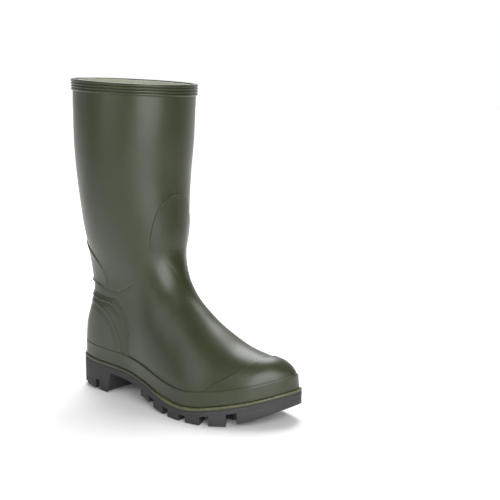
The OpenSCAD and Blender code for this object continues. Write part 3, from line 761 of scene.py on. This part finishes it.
COUNTER_LINE = [[15, 115], [28, 114], [46, 111.5], [66, 109], [76, 103], [83, 94], [87.5, 79], [88, 64],
                [86, 50], [80, 42], [60, 42], [30, 48], [4, 53]]
CAP_LINE = [[15, 107.5], [28, 107], [39, 105], [54, 98.5], [66, 87], [73, 76], [77.5, 63], [77, 51],
            [72, 44], [55, 44], [30, 49], [4, 54]]
STAY_LINE = [[9.5, 184], [20, 180], [34, 171.5], [47, 160], [56, 145], [59.5, 134], [58, 128.5], [47, 129.5],
             [28, 133], [15.4, 134]]


RAND_FADE = (13, 19)


def clear_of_rand(p):
    """1 above the rand and 0 behind it."""
    return smooth_step(*RAND_FADE, p[..., 2] - sole_top(p[..., 0]))


def make_heel_plies():
    """The counter, the smaller ply on it, and the stay above, which bends with the ankle."""
    counter = edge_patch("counter_ply", heel_surface, heel_edge(COUNTER_LINE), COUNTER_CENTRE, SUNK_EDGE,
                         OLIVE, HEEL_STEPS, INSIDE_HEEL, fade=clear_of_rand)
    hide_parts("heel_counter")
    cap = edge_patch("counter_cap_ply", heel_surface, heel_edge(CAP_LINE), CAP_CENTRE, SUNK_CAP_EDGE, OLIVE,
                     HEEL_STEPS, INSIDE_HEEL, fade=clear_of_rand)
    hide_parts("heel_counter_cap")
    for piece in (counter, cap):
        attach(piece, "foot")
    stay = edge_patch("stay_ply", heel_surface, heel_edge(STAY_LINE), STAY_CENTRE, RAISED_EDGE, OLIVE,
                      HEEL_STEPS, INSIDE_ANKLE)
    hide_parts("back_stay")
    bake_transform(stay)


# ---- Plies on the fan: toe cap and shin panel ----
FAN_STEPS = (0.003, 0.012)
FAN_UNITS = (600, 160)
PLACE_HALVINGS = 40
INSIDE_TOE = (215, 0, 25)
INSIDE_LEG = (75, 0, 190)


def fan_surface(u, v):
    return skin(u, v, SKIN_BASE)


def fan_place(x, z, low, high):
    """Fan section and share of the way back of a point of the side view, found by halving."""
    for _ in range(PLACE_HALVINGS):
        middle = (low + high) / 2
        front = fan_surface(middle, 0)
        end = fan_surface(middle, 1)
        turn = (end[0] - front[0]) * (z - front[2]) - (end[2] - front[2]) * (x - front[0])
        low, high = (middle, high) if turn < 0 else (low, middle)
    share = math.hypot(x - front[0], z - front[2]) / math.hypot(end[0] - front[0], end[2] - front[2])
    return middle, math.acos(1 - 2 * min(share, 1)) / math.pi


TOE_CAP_LINE = [[225, 34], [229, 41], [236, 47.5], [243, 52], [254, 60], [263, 66]]
TOE_CAP_TOP = 270
SHIN_LINE = [[137.4, 234], [134, 223], [131.7, 212], [129, 197], [127, 182], [126, 168], [127, 158]]
SHIN_TOP = 243
SHIN_BOTTOM = 152
SHIN_FADE = (156, 196)
SHIN_EDGE_POINTS = 240
UNDER_SKIN = 0.01
TOE_CAP_COLUMNS = 70
TOE_CAP_FLAT = 0.12
TOE_CAP_SIDES = 0.2
TOE_CAP_END = 0.96
TOE_APEX = 0.0004


def make_toe_cap():
    """The ply over the toe."""
    places = sorted([fan_place(x, z, 0.0, HEEL_CORNER)[::-1] for x, z in TOE_CAP_LINE])
    top = fan_place(TOE_CAP_TOP, float(instep_z(TOE_CAP_TOP)) - UNDER_SKIN, 0.0, HEEL_CORNER)[0]
    table = [[0, top], [TOE_CAP_FLAT, top]] + [list(p) for p in places if p[0] > TOE_CAP_SIDES]
    table.append([1, table[-1][1] * TOE_CAP_END])
    v = columns(TOE_CAP_COLUMNS)
    edge = np.stack([spline(table, np.abs(v)), v], 1)
    apex = np.stack([np.full(v.shape, TOE_APEX), v], 1)
    piece = edge_patch("toe_cap_ply", fan_surface, edge, apex, RAISED_EDGE, OLIVE, FAN_STEPS, INSIDE_TOE,
                       False, clear_of_rand)
    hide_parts("toe_cap")
    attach(piece, "foot")


def shin_fade(p):
    """0 at the foot of the shin panel, which sinks into the wall, and 1 further up."""
    return smooth_step(*SHIN_FADE, p[..., 2])


def make_shin_panel():
    """The ply on the front of the leg."""
    side = [fan_place(x, z, HEEL_CORNER, 1.0) for x, z in SHIN_LINE]
    top = fan_place(float(front_x(SHIN_TOP)) - UNDER_SKIN, SHIN_TOP, HEEL_CORNER, 1.0)[0]
    bottom = fan_place(float(front_x(SHIN_BOTTOM)) - UNDER_SKIN, SHIN_BOTTOM, HEEL_CORNER, 1.0)[0]
    edge = [[top, 0], [top - 0.001, 0.03]] + [[u, v] for u, v in side] + [[bottom, 0.05], [bottom, 0]]
    other = [[u, -v] for u, v in edge[-2:0:-1]]
    edge = closed_curve([[u, -v] for u, v in edge] + [[u, -v] for u, v in other], SHIN_EDGE_POINTS, FAN_UNITS)
    piece = edge_patch("shin_ply", fan_surface, edge, ((top + bottom) / 2, 0), RAISED_EDGE, OLIVE, FAN_STEPS,
                       INSIDE_LEG, fade=shin_fade)
    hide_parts("shin_panel")
    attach(piece, "leg")


# ---- Bands round the boot ----
def ring_solid(name, ring, profile, material, sharp):
    """A band round the boot. profile is its cross-section: a level, whose points ring gives, and how far
    they move out from the skin."""
    grid = place(np.array([ring(level) for level, offset in profile]))
    offsets = np.array([offset for level, offset in profile])
    loops = grid + band_normals(grid) * (offsets[:, None, None] * MM)
    return loops_solid(name, loops[:, :-1], material, sharp)


def band_normals(grid):
    """Outward level normals of rings whose last point repeats the first."""
    ahead = np.concatenate([grid[:, 1:], grid[:, 1:2]], 1)
    behind = np.concatenate([grid[:, -2:-1], grid[:, :-1]], 1)
    along = ahead - behind
    normals = np.stack([along[..., 1], -along[..., 0], np.zeros(along.shape[:2])], -1)
    lengths = np.linalg.norm(normals, axis=-1, keepdims=True)
    from_middle = (grid - grid.mean(1, keepdims=True)) * (1, 0, 0)
    from_middle /= np.maximum(np.linalg.norm(from_middle, axis=-1, keepdims=True), TINY)
    return np.where(lengths < LEVEL_TINY, from_middle, normals / np.maximum(lengths, LEVEL_TINY))


RAND_POINTS = 360
RAND_TOE = 288


def rand_ring(height):
    """Closed ring of the skin round the foot, at a height above the sole. Past RAND_TOE, where the front line
    drops steeply, the crown stays as it is there."""
    angle = np.linspace(0, 2 * np.pi, RAND_POINTS + 1)
    back = float(back_x(sole_top(CORNER_X) + height))
    x = back + (TOE_X - back) * (1 - np.cos(angle)) / 2
    z = sole_top(x) + height
    side = np.where(angle <= np.pi, -1, 1)
    width = half_width(side, np.clip(sole_x(x, z), 0, REF_LENGTH))
    half = width * RAND_SHARE * crown(np.minimum(x, RAND_TOE), z)
    return np.stack([x, centre_y(x) + side * half, z], -1)


RAND_PROFILE = [[4.0, 0.9], [4.6, 1.5], [6.5, 1.45], [10, 1.15], [15, 1.05], [19, 1.2], [20.3, 1.25],
                [21.0, 0.95], [21.3, 0.3], [21.2, -1.4], [16, -1.4], [10, -1.4], [4.0, -1.4]]


def make_rand():
    piece = ring_solid("rand_band", rand_ring, RAND_PROFILE, OLIVE, 50)
    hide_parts("rand")
    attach(piece, "foot")


LEG_POINTS = 320


def leg_ring(depth):
    """Closed ring of the skin round the leg, at a depth below the rim."""
    angle = np.linspace(0, 2 * np.pi, LEG_POINTS + 1) + np.pi
    z = REF_HEIGHT - depth
    middle = (float(front_x(z)) + float(back_x(z))) / 2
    reach = (float(front_x(z)) - float(back_x(z))) / 2
    x = middle + reach * np.sign(np.cos(angle)) * np.abs(np.cos(angle)) ** (2 / LEG_POWER)
    y = float(spline(LEG_HALF_WIDTH, z)) * np.sign(np.sin(angle)) * np.abs(np.sin(angle)) ** (2 / LEG_POWER)
    return np.stack([x, y, REF_HEIGHT + RIM_SLOPE * (RIM_MIDDLE_X - x) - depth], -1)


CUFF_HEIGHT = 12.8
RIB_COUNT = 4


def cuff_profile():
    """Depth below the rim and offset from the skin, round the band's cross-section."""
    pitch = CUFF_HEIGHT / RIB_COUNT
    rib = [[0, 0.45], [0.1, 0.6], [0.2, 1.25], [0.32, 1.5], [0.68, 1.5], [0.8, 1.25], [0.9, 0.6]]
    outside = [[(i + share) * pitch, offset] for i in range(RIB_COUNT) for share, offset in rib]
    outside[0] = [-0.35, 0.3]
    outside[1] = [-0.1, 1.0]
    under = [[CUFF_HEIGHT, 0.3], [CUFF_HEIGHT + 0.2, -1.4]]
    inside = [[6, -2.0], [1.5, -3.3], [0.2, -3.4], [-0.35, -2.9], [-0.5, -2.0], [-0.5, -0.8]]
    return outside + under + inside


def make_top_band():
    piece = ring_solid("ribbed_band", leg_ring, cuff_profile(), OLIVE, 35)
    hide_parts("top_band")
    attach(piece, "leg")


TAPE_PROFILE = [[1.2, -4.6], [0.8, -5.0], [1.2, -5.5], [2.2, -5.7], [7, -5.6], [12.6, -5.7], [13.6, -5.5],
                [14, -5.0], [13.6, -4.6]]


def make_lining_tape():
    piece = ring_solid("tape_band", leg_ring, TAPE_PROFILE, TAPE, 50)
    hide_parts("lining_tape")
    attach(piece, "leg")


# ---- Flat layers and the sole ----
def outline(inset, stations):
    """The sole's outline, moved in by inset: its points on the outer and on the inner side at each station,
    and all of them as a ring."""
    lateral = np.stack([stations, centre_y(stations) - half_width(-1, stations)], -1)
    medial = np.stack([stations, centre_y(stations) + half_width(1, stations)], -1)
    ring = np.concatenate([lateral, medial[-2:0:-1]])
    along = np.roll(ring, -1, 0) - np.roll(ring, 1, 0)
    along /= np.linalg.norm(along, axis=1, keepdims=True)
    ring = ring + inset * np.stack([-along[:, 1], along[:, 0]], -1)
    count = len(stations)
    back = np.concatenate([ring[:1], ring[:count - 1:-1], ring[count - 1:count]])
    return ring[:count], back, ring


def stations(count):
    """Places along the sole, close together at the heel and the toe."""
    return REF_LENGTH / 2 * (1 - np.cos(np.linspace(0, np.pi, count)))


SHEET_COLUMNS = 13


def layer(name, profile, count, material, sharp=40, fixed=(), top=sole_top, bottom=sole_top):
    """A flat layer over the sole's shape. profile is its edge from the bottom up, as inset and height.
    fixed are places along the sole that have a station of their own."""
    where = stations(count)
    for x in fixed:
        where[np.argmin(np.abs(where - x))] = x
    half = len(profile) // 2
    loops = []
    for i, (inset, height) in enumerate(profile):
        ring = outline(inset, where)[2]
        base = bottom if i < half else top
        loops.append(np.column_stack([ring, base(ring[:, 0]) + height]))
    loops = np.array(loops)
    rings, size = loops.shape[:2]
    faces = [ring_faces(rings, size, False)]
    points = [loops.reshape(-1, 3)]
    start = rings * size
    for (inset, height), base, flip in ((profile[0], bottom, True), (profile[-1], top, False)):
        lateral, medial, ring = outline(inset, where)
        share = np.linspace(0, 1, SHEET_COLUMNS)[None, :, None]
        sheet = lateral[:, None] * (1 - share) + medial[:, None] * share
        sheet = np.concatenate([sheet, base(sheet[..., :1]) + height], -1)
        points.append(sheet.reshape(-1, 3))
        faces.append(grid_faces(len(where), SHEET_COLUMNS, start, flip))
        start += len(where) * SHEET_COLUMNS
    points = place(np.concatenate(points))
    return new_object(name, points, np.concatenate(faces), material, points[:, :2] / MM, sharp)


FOOTBED_PROFILE = [[18, 7.3], [16.8, 7.6], [16.5, 8.4], [16.5, 10.2], [16.9, 11.0], [18, 11.3], [22, 11.0]]
SOCK_PROFILE = [[12.4, 6.0], [12, 6.3], [12, 6.7], [12.4, 7]]


def make_footbed():
    piece = layer("footbed_pad", FOOTBED_PROFILE, 90, FELT, 50)
    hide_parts("footbed")
    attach(piece, "footbed")


def make_sock_lining():
    piece = layer("sock_sheet", SOCK_PROFILE, 80, KNIT)
    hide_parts("sock_lining")
    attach(piece, "foot")


WELT_LOOPS = [[4.4, 0.1], [0.5, 0.1], [0.0, 0.6], [0.0, 2.7], [0.35, 3.3], [0.9, 3.6], [2.4, 3.6], [3.2, 3.6],
              [4.4, 3.5]]
KNURL_PITCH = 2.3
KNURL_HEIGHT = 0.45
KNURL_SHARPNESS = 1.6
KNURL_FADE = (120, 170)
# Loops that carry the mask of the painted highlight on the knurls.
HIGHLIGHT_LOOPS = (3, 4, 5, 6)
RAISED_LOOPS = (4, 5, 6)
FINE_START = 20
FINE_END = 290
FINE_STEP = 0.55


def make_welt():
    """The ledge, with fine moulded knurls across its top towards the toe, and a painted highlight on their
    crests.
    """
    fine = np.concatenate([np.linspace(0, 1, 40)[:-1] * FINE_START,
                           np.arange(FINE_START, FINE_END, FINE_STEP),
                           REF_LENGTH - (REF_LENGTH - FINE_END) * np.linspace(1, 0, 60) ** 2])
    loops = []
    for inset, height in WELT_LOOPS:
        ring = outline(inset, fine)[2]
        loops.append(np.column_stack([ring, sole_top(ring[:, 0]) + height]))
    loops = np.array(loops)
    length = np.cumsum(np.linalg.norm(np.diff(loops[3], axis=0, prepend=loops[3][-1:]), axis=1))
    # Knurl pattern: it raises the top loops and masks the painted highlight colour on the highlighted loops.
    knurl_and_highlight = np.clip(KNURL_SHARPNESS * np.sin(2 * np.pi * length / KNURL_PITCH), 0, 1)
    knurl_and_highlight = knurl_and_highlight * smooth_step(*KNURL_FADE, loops[3][:, 0])
    uv = np.zeros(loops.shape[:2] + (2,))
    for i in HIGHLIGHT_LOOPS:
        uv[i, :, 0] = knurl_and_highlight
    for i in RAISED_LOOPS:
        loops[i][:, 2] += KNURL_HEIGHT * knurl_and_highlight
    piece = loops_solid("welt_ledge", place(loops), WELT, 50, uv=uv)
    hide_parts("welt")
    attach(piece, "foot")


NOTCH_HEIGHT = 12.5
HEEL_BREAST = 60
WEB_START = 64
WAIST_WEB = 8
FOREFOOT_WEB = 6
WEB_CHANGE = (100, 180)


def web_bottom(x):
    """Underside of the sole between the blocks of the tread."""
    waist = sole_top(x) - WAIST_WEB - (FOREFOOT_WEB - WAIST_WEB) * smooth_step(*WEB_CHANGE, x)
    lean = np.clip((x - HEEL_BREAST) / (WEB_START - HEEL_BREAST), 0, 1)
    return NOTCH_HEIGHT * (1 - lean) + waist * lean


LUG_BEVEL = 0.6
LUG_EMBED = 1.5
CURVE_HALF = 5


def lug(parts, rings, low, high):
    """Adds a block with rounded edges to parts. Its outline and holes are rings of reference x and y."""
    curve = bpy.data.curves.new("lug", "CURVE")
    curve.dimensions = "2D"
    curve.fill_mode = "BOTH"
    curve.extrude = CURVE_HALF
    curve.bevel_depth = LUG_BEVEL
    curve.bevel_resolution = 1
    curve.offset = -LUG_BEVEL
    for ring in rings:
        points = curve.splines.new("POLY")
        points.points.add(len(ring) - 1)
        for point, (x, y) in zip(points.points, ring):
            point.co = (x, y, 0, 1)
        points.use_cyclic_u = True
    holder = bpy.data.objects.new("lug", curve)
    bpy.context.scene.collection.objects.link(holder)
    solid = bpy.data.meshes.new_from_object(holder.evaluated_get(bpy.context.evaluated_depsgraph_get()))
    corners = np.zeros(len(solid.vertices) * 3)
    solid.vertices.foreach_get("co", corners)
    corners = corners.reshape(-1, 3)
    rise = CURVE_HALF + LUG_BEVEL
    under = corners[:, 2] < 0
    corners[:, 2] = np.where(under, low(corners[:, 0]) + corners[:, 2] + rise,
                             high(corners[:, 0]) + LUG_EMBED + corners[:, 2] - rise)
    parts.append((corners, [list(face.vertices) for face in solid.polygons]))
    bpy.data.objects.remove(holder)
    bpy.data.curves.remove(curve)
    bpy.data.meshes.remove(solid)


SLOPE_STEP = 0.5


def edge_point(side, x, inset):
    """A point of the sole's outline, moved in by inset."""
    y = float(centre_y(x)) + side * float(half_width(side, x))
    ahead = float(centre_y(x + SLOPE_STEP)) + side * float(half_width(side, x + SLOPE_STEP))
    slope = np.array([SLOPE_STEP, ahead - y])
    slope /= np.linalg.norm(slope)
    return np.array([x, y]) + inset * side * np.array([slope[1], -slope[0]])


def edge_line(side, start, end, inset, count=7):
    """Points along the sole's outline between two places."""
    return [edge_point(side, x, inset) for x in np.linspace(start, end, count)]


FLUSH = 0.15
HEEL_START = 0.4
HEEL_NOTCHES = [[10.5, 17.5], [36.5, 43.5]]
HEEL_STOPS = [HEEL_NOTCHES[1][0], HEEL_BREAST - 0.1]
NOTCH_DEPTH = 18


def rectangle(start, end, low, high):
    return [[start, low], [end, low], [end, high], [start, high]]


def notch_top(x):
    """Level top of the heel's tread, at every x."""
    return np.full(np.shape(x), NOTCH_HEIGHT)


def heel_block(parts):
    """The heel's tread: two notches in each side and a hollow in the middle."""
    rings = []
    for side in (-1, 1):
        points = edge_line(side, HEEL_START, HEEL_NOTCHES[0][0], FLUSH, 9)
        for (start, end), stop in zip(HEEL_NOTCHES, HEEL_STOPS):
            points.append(edge_point(side, start, NOTCH_DEPTH))
            points.append(edge_point(side, end, NOTCH_DEPTH))
            points += edge_line(side, end, stop, FLUSH)
        rings.append(points)
    outline_ring = rings[0] + rings[1][::-1]
    lug(parts, [outline_ring, rectangle(18, 50, -8, 8)], tread_bottom, notch_top)


LUG_SPANS = [[121, 138], [148, 166.5], [176.5, 195], [205, 223.5], [233.5, 251]]
LUG_DEPTH = 19


def edge_lugs(parts):
    """Blocks along both sides, each with a small step at its inner end."""
    for side in (-1, 1):
        for start, end in LUG_SPANS:
            outer = edge_line(side, start, end, FLUSH)
            inner = [edge_point(side, end - 1.5, LUG_DEPTH - 6), edge_point(side, end - 4, LUG_DEPTH - 5),
                     edge_point(side, end - 4, LUG_DEPTH), edge_point(side, start + 1.5, LUG_DEPTH)]
            lug(parts, [outer + inner], tread_bottom, web_bottom)


TOE_BLOCK = 261
TOE_ARC_X = 236
TOE_ARC_Y = 4
TOE_ARC = 34


def toe_block(parts):
    """The plain crescent under the toe, with a round inner side."""
    around_toe = REF_LENGTH - (REF_LENGTH - TOE_BLOCK) * np.linspace(1, 0, 12)[:-1] ** 2
    outer = [edge_point(-1, x, FLUSH) for x in around_toe]
    outer += [edge_point(1, x, FLUSH) for x in around_toe[::-1]]
    arc = [[TOE_ARC_X + TOE_ARC * math.cos(a), TOE_ARC_Y + TOE_ARC * math.sin(a)]
           for a in np.radians(np.linspace(48, -48, 17))]
    lug(parts, [outer + arc], tread_bottom, web_bottom)


BAR_APEXES = [157, 185.5, 214, 242.5, 264]
BAR_WIDTH = 15.5
BAR_SLOPE = 0.8
BAR_CLEAR = 23
BAR_END_BACK = 20


def chevrons(parts):
    """Bars across the forefoot that point to the toe."""
    for apex in BAR_APEXES:
        middle = float(centre_y(apex))
        ring = []
        for side in (-1, 1):
            reach = float(half_width(side, apex - BAR_END_BACK)) - BAR_CLEAR
            end_x = apex - BAR_SLOPE * reach
            arm = [[end_x, middle + side * reach], [end_x - BAR_WIDTH, middle + side * reach]]
            ring += arm[::side]
            if side < 0:
                ring.append([apex, middle])
        ring.append([apex - BAR_WIDTH, middle])
        lug(parts, [ring], tread_bottom, web_bottom)


PANEL = (72, 112, -19, 17)
PANEL_WIDTH = 2.5
RIB_LINES = 11
RIB_WIDTH = 1.6
RIB_LENGTH = 9
RIB_STARTS = (-31.5, 21)
MARK_HEIGHT = 1.3


def mark_bottom(x):
    return web_bottom(x) - MARK_HEIGHT


def waist_marks(parts):
    """A raised frame and fine ribs under the waist."""
    start, end, low, high = PANEL
    inner = rectangle(start + PANEL_WIDTH, end - PANEL_WIDTH, low + PANEL_WIDTH, high - PANEL_WIDTH)
    lug(parts, [rectangle(*PANEL), inner], mark_bottom, web_bottom)
    for near in RIB_STARTS:
        for x in np.linspace(start + 2, end - 2, RIB_LINES):
            lug(parts, [rectangle(x, x + RIB_WIDTH, near, near + RIB_LENGTH)], mark_bottom, web_bottom)


SLAB_PROFILE = [[1.0, 0.0], [0.3, 0.3], [0.0, 1.0], [0.0, -1.0], [0.3, -0.3], [1.0, 0.0]]


def make_outsole():
    """The sole's slab and all blocks of its tread, as one piece."""
    slab = layer("outsole", SLAB_PROFILE, 150, SOLE, 30, (HEEL_BREAST, WEB_START), sole_top, web_bottom)
    parts = []
    heel_block(parts)
    edge_lugs(parts)
    toe_block(parts)
    chevrons(parts)
    waist_marks(parts)
    start = len(slab.data.vertices)
    points = np.zeros(start * 3)
    slab.data.vertices.foreach_get("co", points)
    points = [points.reshape(-1, 3)]
    faces = [list(face.vertices) for face in slab.data.polygons]
    for corners, polygons in parts:
        points.append(place(corners))
        faces += [[start + corner for corner in polygon] for polygon in polygons]
        start += len(corners)
    bpy.data.objects.remove(slab)
    piece = new_object("outsole_rubber", np.concatenate(points), faces, SOLE, sharp=30)
    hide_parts("outsole")
    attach(piece, "foot")


def finish_hidden_nodes():
    """Materials of the CAD pieces inside the boot that are shown as they are."""
    hidden = {"heel_filler": FOAM, "shank_plate": STEEL, "midsole": FOAM, "insole_board": BOARD,
              "toe_stiffener": STIFFENER, "heel_stiffener": STIFFENER}
    for name, material in hidden.items():
        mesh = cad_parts[name].data
        mesh.materials.clear()
        mesh.materials.append(material)


make_upper()
make_lining()
make_heel_plies()
make_toe_cap()
make_shin_panel()
make_rand()
make_top_band()
make_lining_tape()
make_footbed()
make_sock_lining()
make_welt()
make_outsole()
finish_hidden_nodes()

# ---- Stage, light and camera ----
YAW = math.radians(39.8)
PITCH = math.radians(9.37)
CAMERA_DISTANCE = 1.14406
FOCAL = 71.95
SENSOR = 36
RIGHT = Vector((math.cos(YAW), math.sin(YAW), 0))
LEVEL = Vector((-math.sin(YAW), math.cos(YAW), 0))
UP = Vector((0, 0, 1))
TARGET = Vector((0.002, 0, 0.17852)) + RIGHT * 0.07616
WHITE = (1, 1, 1, 1)
FLOOR_SIZE = 12
FLOOR_NEAR = 0.3
FLOOR_FAR = 1.3
# Grey of the painted shade on the floor's right, and where it starts and is full, in metres along the right.
FLOOR_SHADE_GREY = 0.45
SHADE_START = 0.45
SHADE_END = 1.0


def make_floor():
    """A pale floor that glows more the further it lies behind the boot, with painted shade on the right,
    where it turns grey, which also keeps the boot's right side darker.
    """
    edit = bmesh.new()
    bmesh.ops.create_grid(edit, x_segments=4, y_segments=4, size=FLOOR_SIZE)
    mesh = bpy.data.meshes.new("floor")
    edit.to_mesh(mesh)
    edit.free()
    material, tree, shader, coordinates = new_material("floor", Roughness=0.7)
    shader.inputs["Specular IOR Level"].default_value = 0.25
    tone = ramp(tree, noise(tree, coordinates.outputs["Object"], 3, 3), 0, 1)
    paper = mix(tree, tone, (0.88, 0.88, 0.885), (0.9, 0.9, 0.905))
    # Painted shade: the floor's colour turns grey towards the right.
    dim = ramp(tree, along(tree, coordinates.outputs["Object"], RIGHT), 0, 1, SHADE_START, SHADE_END)
    glow = ramp(tree, along(tree, coordinates.outputs["Object"], LEVEL), 0, 1, FLOOR_NEAR, FLOOR_FAR)
    wire(tree, shader, {"Base Color": mix(tree, dim, paper, (FLOOR_SHADE_GREY,) * 3), "Emission Strength": glow,
                        "Emission Color": WHITE})
    mesh.materials.append(material)
    floor = bpy.data.objects.new("floor", mesh)
    bpy.context.scene.collection.objects.link(floor)


def aim(thing, at, towards):
    """Adds a lamp or a camera at a place, facing along towards."""
    thing.location = at
    thing.rotation_mode = "QUATERNION"
    thing.rotation_quaternion = towards.to_track_quat("-Z", "Y")
    bpy.context.scene.collection.objects.link(thing)


def area_light(name, place_at, size, power):
    """A white lamp that faces the boot. size is its width and height in metres, power is in watts."""
    data = bpy.data.lights.new(name, "AREA")
    data.shape = "RECTANGLE"
    data.size, data.size_y = size
    data.energy = power
    aim(bpy.data.objects.new(name, data), place_at, TARGET - place_at)


BEHIND_SPAN = (0.55, 0.8)
LEFT_GLOW = 0.25
RIGHT_GLOW = 0.03
SIDE_SPAN = (-0.8, 0.4)


def make_world():
    """Bright behind the boot, dim on its left, and nearly dark on its right, which stays dark itself."""
    world = bpy.data.worlds.new("studio")
    bpy.context.scene.world = world
    world.use_nodes = True
    tree = world.node_tree
    background = tree.nodes["Background"]
    direction = add(tree, "TexCoord").outputs["Generated"]
    behind = ramp(tree, along(tree, direction, LEVEL), 0, 1, *BEHIND_SPAN)
    left = ramp(tree, along(tree, direction, RIGHT), LEFT_GLOW, RIGHT_GLOW, *SIDE_SPAN)
    total = add(tree, "Math", operation="MAXIMUM")
    wire(tree, total, {0: behind, 1: left})
    wire(tree, background, {"Strength": total.outputs[0], "Color": WHITE})


def make_camera():
    """The camera, about as high as the rim and tilted down a little."""
    data = bpy.data.cameras.new("camera")
    data.lens = FOCAL
    data.sensor_width = SENSOR
    camera = bpy.data.objects.new("camera", data)
    forward = LEVEL * math.cos(PITCH) - UP * math.sin(PITCH)
    aim(camera, TARGET - forward * CAMERA_DISTANCE, forward)
    bpy.context.scene.camera = camera


make_floor()
area_light("top", TARGET + UP * 1.45 + LEVEL * 0.75, (1.3, 1.3), 42)
area_light("front", TARGET - LEVEL * 1.3 + RIGHT * 0.36 + UP * 0.46, (1.35, 0.95), 25)
area_light("left", TARGET - RIGHT * 1.5 - LEVEL * 0.8 + UP * 0.6, (0.9, 1.2), 6)
make_world()
make_camera()
bpy.context.scene.view_settings.view_transform = "Standard"
